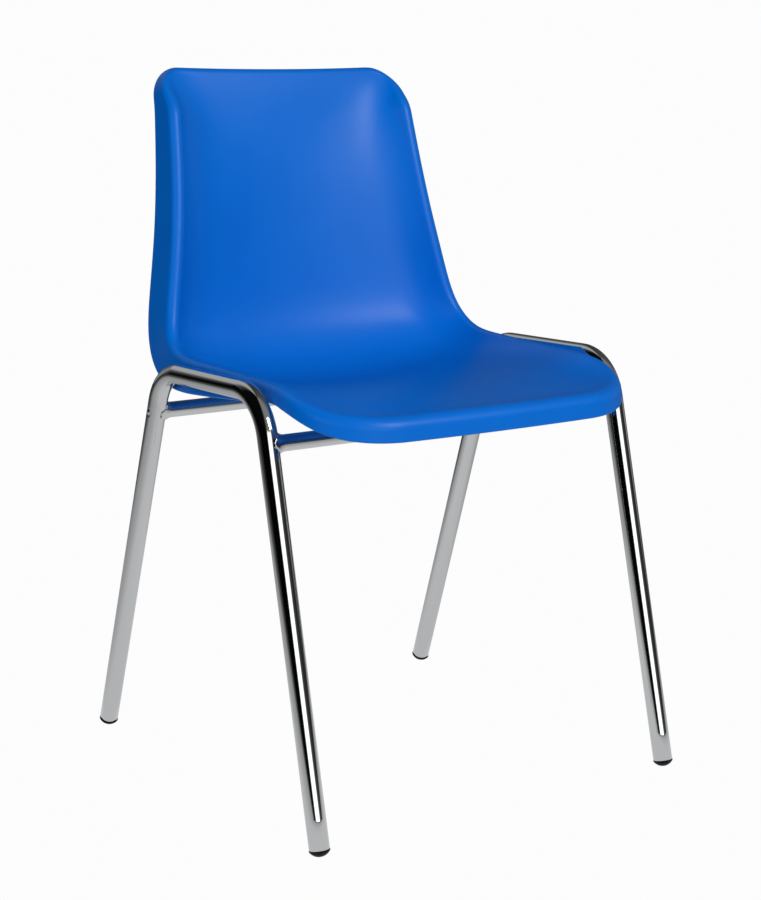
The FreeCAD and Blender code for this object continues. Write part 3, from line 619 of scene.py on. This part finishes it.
    def skin(self) -> Array:
        """Whole shell: the +X half and its mirror image, joined round the outline."""
        half = self.half()
        mirror = half[:, ::-1] * np.array([-1, 1, 1])
        return np.concatenate([half, mirror[:, 1:-1]], axis=1)

    def build(self, finish: Material) -> Piece:
        """Make the shell and line it up with its CAD node's top and middle."""
        piece = mesh_piece("seat_shell_skin", [self.skin()], finish)
        settle(piece, "seat_shell", (0.5, 0.5, 1.0))
        hand_over(piece, "shell_plastic", "seat_shell")
        return piece


@dataclass
class ShellBosses:
    """Four ribbed bosses under the shell that stand on the cross tubes and take the screws."""

    half_spacing: float = 95.0
    radius: float = 13.0
    rib: float = 3.0
    rib_reach: float = 26.0
    overlap: float = 4.0
    saddle: float = 9.2
    gap: float = 0.2
    rib_root: float = 0.1145
    seat_below: float = 600.0
    neighbours: int = 6

    def outline(self, count: int = 96) -> Array:
        """Reach of the boss by angle: a circle, or where it is longer one of two crossed rib boxes."""
        angle = circle(count)
        corner = math.atan2(self.rib / 2, self.rib_reach)
        quarter = np.arange(4)[:, None] * math.pi / 2
        extra = quarter + np.array([-corner, corner, -self.rib_root, self.rib_root])
        angle = np.sort(np.concatenate([angle, extra.ravel()]))
        far = np.maximum(np.abs(np.cos(angle)), 1e-6), np.maximum(np.abs(np.sin(angle)), 1e-6)
        along = np.minimum(self.rib_reach / far[0], self.rib / 2 / far[1])
        across = np.minimum(self.rib_reach / far[1], self.rib / 2 / far[0])
        reach = np.maximum(self.radius, np.maximum(along, across))
        return np.stack([reach * np.cos(angle), reach * np.sin(angle)], axis=-1)

    def build(
        self, shell: SeatShell, bars: Sequence[Pair], finish: Material
    ) -> Piece:
        """Stand a boss at each screw, from the saddle on its cross tube up into the middle of the wall.

        The top follows the wall: each point takes the height of the wall's middle surface at its own
        x and y, as the distance-weighted mean of the nearest points of that surface.
        """
        across, place = np.meshgrid(np.linspace(0, 0.97, 50), np.linspace(0, 5, 260), indexing="ij")
        wall = shell.point(place, across) - shell.frame_at(place, across)[0] * shell.thickness / 2
        wall = wall.reshape(-1, 3)
        wall = wall[wall[:, 2] < self.seat_below]
        flat = self.outline()
        rings = np.array([0.0, 1.0, 1.0, 0.0])[:, None, None]
        grids = []
        for bar_y, bar_z in bars:
            lowest = bar_z + self.saddle - self.gap - self.overlap
            ground = np.array([self.half_spacing, bar_y]) + flat * rings
            gap = np.linalg.norm(wall[None, :, :2] - ground.reshape(-1, 1, 2), axis=-1)
            near = np.argsort(gap, axis=1)[:, : self.neighbours]
            weight = 1 / (np.take_along_axis(gap, near, axis=1) + 0.05) ** 2
            top = ((weight * wall[:, 2][near]).sum(1) / weight.sum(1)).reshape(ground.shape[:2])
            aside = ground[..., 1] - bar_y
            saddle = bar_z + np.sqrt(np.maximum(self.saddle**2 - aside**2, 0))
            foot = np.maximum(saddle, lowest)
            height = np.where(np.array([True, True, False, False])[:, None], foot, top)
            boss = np.concatenate([ground, height[..., None]], axis=-1)
            middle = np.linspace(0, 1, 6)[1:-1, None, None]
            grid = np.concatenate([boss[:1], boss[:1] + (boss[1:2] - boss[:1]) * middle, boss[1:3], boss[3:]])
            saddle_rows = grid[:5]
            lift = bar_z + np.sqrt(np.maximum(self.saddle**2 - (saddle_rows[..., 1] - bar_y) ** 2, 0))
            saddle_rows[..., 2] = np.maximum(lift, lowest)
            grids += [grid, grid[:, ::-1] * np.array([-1, 1, 1])]
        piece = mesh_piece("shell_bosses", grids, finish)
        piece.data.set_sharp_from_angle(angle=math.radians(40))
        hand_over(piece, "shell_plastic", "seat_shell")
        return piece


# ---- side frames
@dataclass
class SideHoop:
    """One bent tube: a nearly level rail with a leg at each end, splayed out towards the floor."""

    side: Side
    tube: float = 22.0
    wall: float = 1.5
    bend_radius: float = 56.0
    foot_half: float = 235.5
    rail_half: float = 232.5
    foot_reach: Pair = (248.1, 248.9)
    rail_reach: Pair = (135.0, 86.0)
    rail_height: Pair = (467.5, 462.5)
    foot_height: float = 7.5
    edge: float = 0.35
    pip_spot: Pair = (103.1, 414.0)
    pip_radius: float = 2.3
    pip_height: float = 0.8
    ditch_depth: float = 0.3
    ditch_radius: float = 4.0
    ditch_width: float = 1.1

    def leg(self, end: End) -> Triple:
        """Reach of a leg at the floor, its reach at the rail, and the rail's height there."""
        index = 0 if end is End.FRONT else 1
        return self.foot_reach[index], self.rail_reach[index], self.rail_height[index]

    def lean(self, end: End) -> float:
        """Angle of a leg from upright, seen from the side."""
        foot, rail, height = self.leg(end)
        return math.atan((foot - rail) / height)

    def half_width(self, z: Array) -> Array:
        """Distance of the centre line from the chair's middle plane: it narrows evenly from floor to rail."""
        middle = sum(self.rail_height) / 2
        return self.foot_half - (self.foot_half - self.rail_half) * z / middle

    def corners(self) -> Array:
        """Floor point, rail corner, rail corner, floor point of the centre line, as (y, z)."""
        return np.array([
            [-self.foot_reach[0], 0.0], [-self.rail_reach[0], self.rail_height[0]],
            [self.rail_reach[1], self.rail_height[1]], [self.foot_reach[1], 0.0]])

    def centre_line(self) -> Array:
        """Points of the centre line from the front foot to the rear foot, as (y, z).

        Each corner is rounded by an arc of the bend radius, tangent to both runs: its ends lie
        radius * tan(turn / 2) from the corner.
        """
        floor_front, front, rear, floor_rear = self.corners()
        points = []
        for before, corner, after in ((floor_front, front, rear), (front, rear, floor_rear)):
            run_in = (corner - before) / np.linalg.norm(corner - before)
            run_out = (after - corner) / np.linalg.norm(after - corner)
            turn = math.acos(float(run_in @ run_out))
            setback = self.bend_radius * math.tan(turn / 2)
            inward = (run_out - run_in) / np.linalg.norm(run_out - run_in)
            centre = corner + inward * self.bend_radius / math.cos(turn / 2)
            spoke = corner - run_in * setback - centre
            angle = -np.linspace(0, turn, 44)[:, None]
            swing = np.stack([spoke[0] * np.cos(angle) - spoke[1] * np.sin(angle),
                              spoke[0] * np.sin(angle) + spoke[1] * np.cos(angle)], axis=-1)[:, 0]
            points.append(centre + swing)
        run = (front - floor_front) / np.linalg.norm(front - floor_front)
        start = floor_front + run * self.foot_height
        back = (rear - floor_rear) / np.linalg.norm(rear - floor_rear)
        end = floor_rear + back * self.foot_height
        front_leg = start + (points[0][0] - start) * np.linspace(0, 1, 14)[:-1, None]
        rail = points[0][-1] + (points[1][0] - points[0][-1]) * np.linspace(0, 1, 12)[1:-1, None]
        leg_share = np.concatenate([np.linspace(0, 1, 14)[1:], self.pip_shares(points[1][-1], end)])
        leg_share = np.sort(leg_share)
        rear_leg = points[1][-1] + (end - points[1][-1]) * leg_share[:, None]
        return np.concatenate([front_leg, points[0], rail, points[1], rear_leg])

    def pip_shares(self, start: Array, end: Array) -> Array:
        """Extra places along the rear leg round the plug weld, 0.6 mm apart."""
        length = float(np.linalg.norm(end - start))
        middle = float((np.array(self.pip_spot) - start) @ (end - start)) / length
        return (middle + np.arange(-6, 6.1, 0.6)) / length

    def surface(self) -> Array:
        """Tube wall as one closed ring of circles carried along the centre line and back inside it.

        The radius is the tube's outside, eased over a small edge at each end, then the bore. A low
        dome with a shallow ditch round it is added where the plug weld was dressed off.
        """
        line = self.centre_line()
        along = np.gradient(line, axis=0)
        along /= np.linalg.norm(along, axis=1, keepdims=True)
        across = np.stack([-along[:, 1], along[:, 0]], axis=-1)
        angle = circle(72)
        rows = np.arange(len(line))
        order = np.concatenate([rows[:1], rows, rows[-1:], rows[-1:], rows[::-1], rows[:1]])
        outer, bore, edge = self.tube / 2, self.tube / 2 - self.wall, self.edge
        radius = np.concatenate([[outer - edge], np.full(len(rows), outer), [outer - edge, bore + edge],
                                 np.full(len(rows), bore), [bore + edge]])
        inset = np.zeros(len(order))
        inset[1], inset[len(rows)] = edge, -edge
        inset[len(rows) + 3], inset[-2] = -edge, edge
        centre = line[order] + along[order] * inset[:, None]
        yz = centre[:, None, :] + across[order][:, None, :] * (radius[:, None] * np.sin(angle))[..., None]
        half = self.half_width(centre[:, 1])
        x = self.side.value * (half[:, None] + radius[:, None] * np.cos(angle))
        points = np.concatenate([x[..., None], yz], axis=-1)
        spot_y, spot_z = self.pip_spot
        spot = np.array([self.side.value * (self.half_width(np.array(spot_z)) + outer), spot_y, spot_z])
        away = np.linalg.norm(points - spot, axis=-1)
        lift = self.pip_height * np.exp(-((away / self.pip_radius) ** 2))
        lift = lift - self.ditch_depth * np.exp(-(((away - self.ditch_radius) / self.ditch_width) ** 2))
        outside = (radius >= outer - 1e-6)[:, None]
        points[..., 0] += self.side.value * np.where(outside, lift, 0) * np.maximum(np.cos(angle), 0)
        return points

    def build(self, finish: Material) -> Piece:
        """Make the tube and line it up with its CAD node."""
        name = self.side.name.lower()
        piece = mesh_piece(f"{name}_hoop_tube", [self.surface()], finish, ring=True)
        settle(piece, f"{name}_side_frame")
        hand_over(piece, "chrome_tube", f"{name}_side_frame")
        return piece


# ---- cross tubes
@dataclass
class CrossTube:
    """Straight tube between the hoops, coped to the legs, with a weld fillet round each joint."""

    end: End
    hoop: SideHoop
    height: float
    diameter: float = 18.0
    fillet: float = 2.9
    fillet_reach: float = 9.0
    ripple: float = 0.1
    gap: float = 0.05
    fade_reach: float = 40.0
    straight_from: float = 60.0

    def spot(self) -> Pair:
        """Place (y, z) of the tube's centre line on the legs' centre lines."""
        foot, rail, rail_height = self.hoop.leg(self.end)
        reach = foot - (foot - rail) * self.height / rail_height
        return self.end.value * reach, self.height

    def surface(self) -> Array:
        """Circles carried along X, larger near each leg and cut to the leg's round.

        With t the distance from the leg, the radius grows by fillet * (1 - t / reach)^2.5 and a weld
        ripple. The ring at the leg is moved out to the leg's surface: half width - sqrt(R^2 - w^2),
        where w is how far a point lies aside of the leg's centre line.
        """
        angle = circle(72)
        y, z = self.spot()
        lean = self.hoop.lean(self.end)
        leg = np.array([self.end.value * -math.sin(lean), math.cos(lean)])
        flare = np.geomspace(0.15, 1, 16) * self.fillet_reach
        t = np.concatenate([[0], flare, np.linspace(self.fillet_reach, self.straight_from, 6)[1:]])
        near = np.maximum(1 - t / self.fillet_reach, 0)[:, None]
        bead = near**2.5 * (self.fillet + self.ripple * np.sin(13 * angle + 0.6 * np.sin(3 * angle)))
        radius = self.diameter / 2 + bead
        dy, dz = radius * np.cos(angle), radius * np.sin(angle)
        aside = dy * leg[1] - dz * leg[0]
        leg_radius = self.hoop.tube / 2 + self.gap
        cope = np.sqrt(np.maximum(leg_radius**2 - aside**2, 0))
        half = self.hoop.half_width(z + dz)
        fade = np.clip(1 - t / self.fade_reach, 0, 1)[:, None]
        flat_end = self.hoop.half_width(np.array(z)) - leg_radius * 0.8
        x = (half - cope) * fade + flat_end * (1 - fade) - t[:, None]
        one_end = np.stack([x, y + dy, z + dz], axis=-1)
        shrink = np.array([0.0, 0.35, 0.7])[:, None]
        cap_y, cap_z = dy[:1] * shrink, dz[:1] * shrink
        cap_aside = cap_y * leg[1] - cap_z * leg[0]
        cap_x = self.hoop.half_width(z + cap_z) - np.sqrt(np.maximum(leg_radius**2 - cap_aside**2, 0))
        cap = np.stack([cap_x, y + cap_y, z + cap_z], axis=-1)
        half_tube = np.concatenate([cap, one_end])
        return np.concatenate([half_tube, half_tube[::-1] * np.array([-1, 1, 1])])

    def build(self, finish: Material) -> Piece:
        """Make the tube and line it up with its CAD node."""
        name = f"{self.end.name.lower()}_cross_tube"
        piece = mesh_piece(f"{name}_welded", [self.surface()], finish)
        settle(piece, name)
        hand_over(piece, "chrome_tube", name)
        return piece


# ---- feet
@dataclass
class FootPlug:
    """Domed plastic plug in the end of a leg, with a thin lip under the tube and a ribbed stem in it."""

    end: End
    side: Side
    hoop: SideHoop
    diameter: float = 22.6
    height: float = 7.5
    lip: float = 1.2
    stem: float = 24.0
    stem_radius: float = 9.0

    def profile(self) -> Tuple[Array, Array]:
        """Radius and height: a ball cap, a lip with rounded edges, a step to the stem, ribs, the top."""
        rise = self.height - self.lip
        ball = ((self.diameter / 2) ** 2 + rise**2) / (2 * rise)
        reach = math.asin(min(self.diameter / 2 / ball, 1.0))
        turn = np.linspace(0, 1, 18) ** 0.8 * reach
        radius, height = ball * np.sin(turn), ball * (1 - np.cos(turn))
        radius[-1] -= 0.1
        outer, top = self.diameter / 2, self.height - 0.1
        ribs = np.array([[0, 0], [0.45, 0.1], [0.45, 1.9], [0, 2.0]])
        stem_radius = np.concatenate([self.stem_radius + ribs[:, 0] for _ in range(3)])
        stem_height = np.concatenate([self.height + step * 7.0 - 2.0 + ribs[:, 1] for step in (1, 2, 3)])
        soft = 0.15
        radius = np.concatenate([
            radius, [outer, outer, outer - soft, self.stem_radius], stem_radius, [self.stem_radius, 0]])
        height = np.concatenate([
            height, [rise + soft, top - soft, top, top], stem_height, [rise + self.stem] * 2])
        return radius, height

    def build(self, finish: Material) -> Piece:
        """Turn the profile, lean it with the leg, flatten what is under the floor and line it up."""
        points = turned(*self.profile(), 64)
        lean = -self.end.value * self.hoop.lean(self.end)
        x, y, z = points[..., 0], points[..., 1], points[..., 2]
        y, z = y * math.cos(lean) + z * math.sin(lean), z * math.cos(lean) - y * math.sin(lean)
        x = x + self.side.value * self.hoop.half_width(z)
        points = np.stack([x, y + self.end.value * self.hoop.leg(self.end)[0], np.maximum(z, 0)], axis=-1)
        name = f"{self.end.name.lower()}_{self.side.name.lower()}_foot"
        piece = mesh_piece(f"{name}_plug", [points], finish)
        piece.data.set_sharp_from_angle(angle=math.radians(50))
        settle(piece, name)
        hand_over(piece, "foot_plastic", name)
        return piece


# ---- screws and washers
@dataclass
class ShellScrews:
    """Four button-head screws and their washers, up through the cross tubes into the bosses."""

    half_spacing: float = 95.0
    shank: float = 5.0
    length: float = 31.0
    head: float = 9.5
    head_height: float = 3.2
    socket: float = 3.0
    socket_depth: float = 1.8
    washer: float = 13.0
    washer_height: float = 1.2

    def screw(self) -> Array:
        """Profile turned about Z: hexagonal socket, domed head, shank with a thread, pointed tip.

        The socket's radius at an angle is that of a hexagon, across / 2 / cos(angle within a sixth).
        """
        count = 48
        angle = circle(count)
        sixth = (angle + math.pi / 6) % (math.pi / 3) - math.pi / 6
        hexagon = self.socket / 2 / np.cos(sixth)
        dome = np.linspace(0, math.pi / 2, 9)
        dome_radius = self.socket * 0.75 + (self.head / 2 - self.socket * 0.75) * np.sin(dome)
        dome_height = self.head_height * 0.86 * (1 - np.cos(dome))
        ridge = np.arange(0, self.length - 3, 0.4)
        thread = self.shank / 2 - 0.22 + 0.22 * np.cos(ridge / 0.8 * 2 * math.pi)
        radius = np.concatenate([dome_radius, [self.head / 2, self.head / 2 - 0.2, self.shank / 2], thread,
                                 [self.shank / 2 - 0.4, 0.8, 0]])
        height = np.concatenate([dome_height, [self.head_height - 0.2, self.head_height, self.head_height],
                                 self.head_height + ridge,
                                 self.head_height + self.length - np.array([2.2, 0, 0])])
        body = turned(radius, height, count)
        flat = np.stack([hexagon * np.cos(angle), hexagon * np.sin(angle), 0 * angle], axis=-1)
        rings = ((0.0, self.socket_depth), (1.0, self.socket_depth), (1.0, 0.0))
        cavity = np.stack([flat * share + np.array([0, 0, level]) for share, level in rings])
        return np.concatenate([cavity, body])

    def disc(self) -> Array:
        """Washer: a flat ring with small rounded edges, turned about Z as one closed loop."""
        outer, inner, high, soft = self.washer / 2, self.shank / 2 + 0.3, self.washer_height, 0.2
        radius = [inner, inner, inner + soft, outer - soft, outer, outer, outer - soft, inner + soft]
        height = [high - soft, soft, 0, 0, soft, high - soft, high, high]
        return turned(radius, height, 64)

    def build(self, bars: Sequence[Pair], bar: float, finish: Material) -> None:
        """Set a screw and a washer under each cross tube, at each side."""
        screws, washers = [], []
        for y, z in bars:
            for side in Side:
                under = z - bar / 2 - 0.1 - self.washer_height
                spot = np.array([side.value * self.half_spacing, y, under])
                washers.append(self.disc() + spot)
                screws.append(self.screw() + spot - np.array([0, 0, 0.1 + self.head_height]))
        screw_piece = mesh_piece("shell_screws_threaded", screws, finish)
        washer_piece = mesh_piece("screw_washers_stamped", washers, finish, ring=True)
        for piece, node in ((screw_piece, "shell_screws"), (washer_piece, "screw_washers")):
            piece.data.set_sharp_from_angle(angle=math.radians(35))
            settle(piece, node)
            hand_over(piece, "screw_steel", node)


# ---- studio
@dataclass
class Studio:
    """Pale floor that glows with a painted pool of light, surroundings for the chrome to mirror, two soft
    lamps and the camera.
    """

    distance_lens: float = 76.68
    camera_place: Triple = (-1.214, -1.824, 0.800)
    azimuth: float = -33.75
    elevation: float = 11.36
    floor_radius: float = 9.0
    # Painted pool of light on the floor, by distance from the chair: place and glow.
    floor_glow_pool_stops: Stops = (
        (0.0, 0.74), (0.1, 0.70), (0.18, 0.50), (0.38, 0.33), (0.5, 0.10), (1.0, 0.01))
    band_stops: Stops = (
        (0.0, 0.10), (0.09, 0.14), (0.12, 0.4), (0.17, 0.004), (0.35, 0.002), (0.510, 0.002), (0.530, 2.2),
        (0.625, 2.2), (0.65, 0.10), (0.72, 0.03), (0.78, 0.04), (0.82, 0.4), (0.9, 0.12), (1.0, 0.10))
    above_stops: Stops = (
        (0.0, 0.05), (0.04, 0.15), (0.07, 0.55), (0.14, 0.55), (0.18, 0.10), (0.22, 0.004), (0.49, 0.004),
        (0.56, 0.3), (0.75, 0.3), (0.85, 0.1), (1.0, 0.05))
    above_from: Pair = (0.32, 0.44)

    def camera(self) -> None:
        """Stand the camera at the chair's front right, a little above it, without shift or blur."""
        data = bpy.data.cameras.new("camera")
        data.sensor_width, data.lens = 36.0, self.distance_lens
        data.clip_start, data.clip_end = 0.05, 50.0
        camera = bpy.data.objects.new("camera", data)
        a, e = math.radians(self.azimuth), math.radians(self.elevation)
        back = Vector((math.sin(a) * math.cos(e), -math.cos(a) * math.cos(e), math.sin(e)))
        camera.location = self.camera_place
        camera.rotation_mode = "QUATERNION"
        camera.rotation_quaternion = (-back).to_track_quat("-Z", "Y")
        bpy.context.scene.collection.objects.link(camera)
        bpy.context.scene.camera = camera

    def floor(self) -> None:
        """Lay a round floor that glows: one even pale tone to the camera, and to mirrors and the chair a
        painted pool of light that darkens away from the chair.
        """
        material, tree = new_tree("studio_floor_pale")
        where = add_node(tree, "TexCoord").outputs["Object"]
        reach = add_node(tree, "VectorMath", {"operation": "LENGTH"}, {0: where}).outputs["Value"]
        # Painted pool of light: the glow seen in mirrors and cast on the chair fades with distance from the
        # chair.
        fall = add_node(
            tree, "MapRange", {"From Max": 4.0, "interpolation_type": "LINEAR"}, {"Value": reach})
        ramp = add_node(tree, "ValToRGB", {}, {"Fac": fall.outputs[0]})
        set_stops(ramp, self.floor_glow_pool_stops)
        seen = add_node(tree, "LightPath").outputs["Is Camera Ray"]
        tone = add_node(
            tree, "Mix", {"data_type": "RGBA", 7: PALE}, {0: seen, 6: ramp.outputs["Color"]})
        # The floor glows though it is no lamp: painted light on the chair's underside and in the chrome.
        glow = add_node(tree, "Emission", {"Strength": 1.0}, {"Color": tone.outputs[2]})
        cover = add_node(
            tree, "Mix", {"data_type": "RGBA", 6: (0.10, 0.10, 0.10, 1), 7: (0.0, 0.0, 0.0, 1)},
            {0: seen})
        matt = add_node(tree, "BsdfDiffuse", {}, {"Color": cover.outputs[2]})
        both = add_node(tree, "AddShader", {}, {0: glow.outputs[0], 1: matt.outputs[0]})
        add_node(tree, "OutputMaterial", {}, {"Surface": both.outputs[0]})
        angle = circle(96)
        rim = self.floor_radius * np.stack([np.cos(angle), np.sin(angle), 0 * angle], axis=-1)
        mesh = bpy.data.meshes.new("studio_floor")
        mesh.from_pydata(rim, [], [list(range(len(angle)))])
        mesh.materials.append(material)
        floor = bpy.data.objects.new("studio_floor", mesh)
        bpy.context.scene.collection.objects.link(floor)

    def room(self) -> None:
        """Surround the chair with bright and dark bands by compass direction, in a low and a high row.

        Mirrors and light see the bands. The camera sees one even pale tone.
        """
        world = bpy.data.worlds.new("studio_room")
        bpy.context.scene.world = world
        world.use_nodes = True
        tree = world.node_tree
        tree.nodes.clear()
        sight = add_node(tree, "TexCoord").outputs["Generated"]
        parts = add_node(tree, "SeparateXYZ", {}, {0: sight})
        level = parts.outputs["Z"]
        turn = add_node(
            tree, "VectorRotate",
            {"rotation_type": "Z_AXIS", "Angle": math.radians(90 - self.azimuth)}, {"Vector": sight})
        flat = add_node(tree, "SeparateXYZ", {}, {0: turn.outputs[0]})
        around = add_node(
            tree, "Math", {"operation": "ARCTAN2"}, {0: flat.outputs["Y"], 1: flat.outputs["X"]})
        share = add_node(
            tree, "MapRange", {"From Min": -math.pi, "From Max": math.pi},
            {"Value": around.outputs[0]})
        band = add_node(tree, "ValToRGB", {}, {"Fac": share.outputs[0]})
        set_stops(band, self.band_stops)
        above = add_node(tree, "ValToRGB", {}, {"Fac": share.outputs[0]})
        set_stops(above, self.above_stops)
        rise = add_node(
            tree, "MapRange",
            {"From Min": self.above_from[0], "From Max": self.above_from[1],
             "interpolation_type": "SMOOTHSTEP"}, {"Value": level})
        room = add_node(
            tree, "Mix", {"data_type": "RGBA"},
            {0: rise.outputs[0], 6: band.outputs["Color"], 7: above.outputs["Color"]})
        seen = add_node(tree, "LightPath").outputs["Is Camera Ray"]
        final = add_node(
            tree, "Mix", {"data_type": "RGBA", 7: PALE}, {0: seen, 6: room.outputs[2]})
        glow = add_node(tree, "Background", {"Strength": 1.0}, {"Color": final.outputs[2]})
        add_node(tree, "OutputWorld", {}, {"Surface": glow.outputs[0]})

    def lamp(
        self, name: str, place: Triple, size: float, power: float, mirrored: bool
    ) -> None:
        """Hang a square soft light that faces the seat, unseen by the camera, in mirrors only if set so."""
        data = bpy.data.lights.new(name, "AREA")
        data.size, data.energy = size, power
        lamp = bpy.data.objects.new(name, data)
        lamp.location = place
        lamp.rotation_mode = "QUATERNION"
        aim = Vector((0.0, 0.0, 0.5)) - Vector(place)
        lamp.rotation_quaternion = aim.to_track_quat("-Z", "Y")
        lamp.visible_camera = False
        lamp.visible_glossy = mirrored
        bpy.context.scene.collection.objects.link(lamp)

    def build(self) -> None:
        """Set up camera, floor, room and lamps, and show colours as they are."""
        self.camera()
        self.floor()
        self.room()
        self.lamp("key_soft_box", (0.55, -2.1, 1.95), 0.9, 36.0, True)
        self.lamp("side_fill", (-2.2, -1.0, 1.3), 1.4, 26.0, False)
        bpy.context.scene.view_settings.view_transform = "Standard"


def main() -> None:
    """Build the studio and the chair, piece by piece."""
    logging.basicConfig(level=logging.INFO, format="%(message)s")
    Studio().build()
    blue = MouldedPolypropylene().material()
    chrome = ChromePlate().material()
    black = BlackPolyethylene().material()
    zinc = ZincPlate().material()
    hoops = {side: SideHoop(side) for side in Side}
    tubes = [CrossTube(End.FRONT, hoops[Side.LEFT], 416.0), CrossTube(End.REAR, hoops[Side.LEFT], 414.0)]
    shell = SeatShell()
    shell.build(blue)
    bars = [tube.spot() for tube in tubes]
    ShellBosses().build(shell, bars, blue)
    for hoop in hoops.values():
        hoop.build(chrome)
    for tube in tubes:
        tube.build(chrome)
    for end in End:
        for side in Side:
            FootPlug(end, side, hoops[side]).build(black)
    ShellScrews().build(bars, tubes[0].diameter, zinc)


if __name__ == "__main__":
    main()
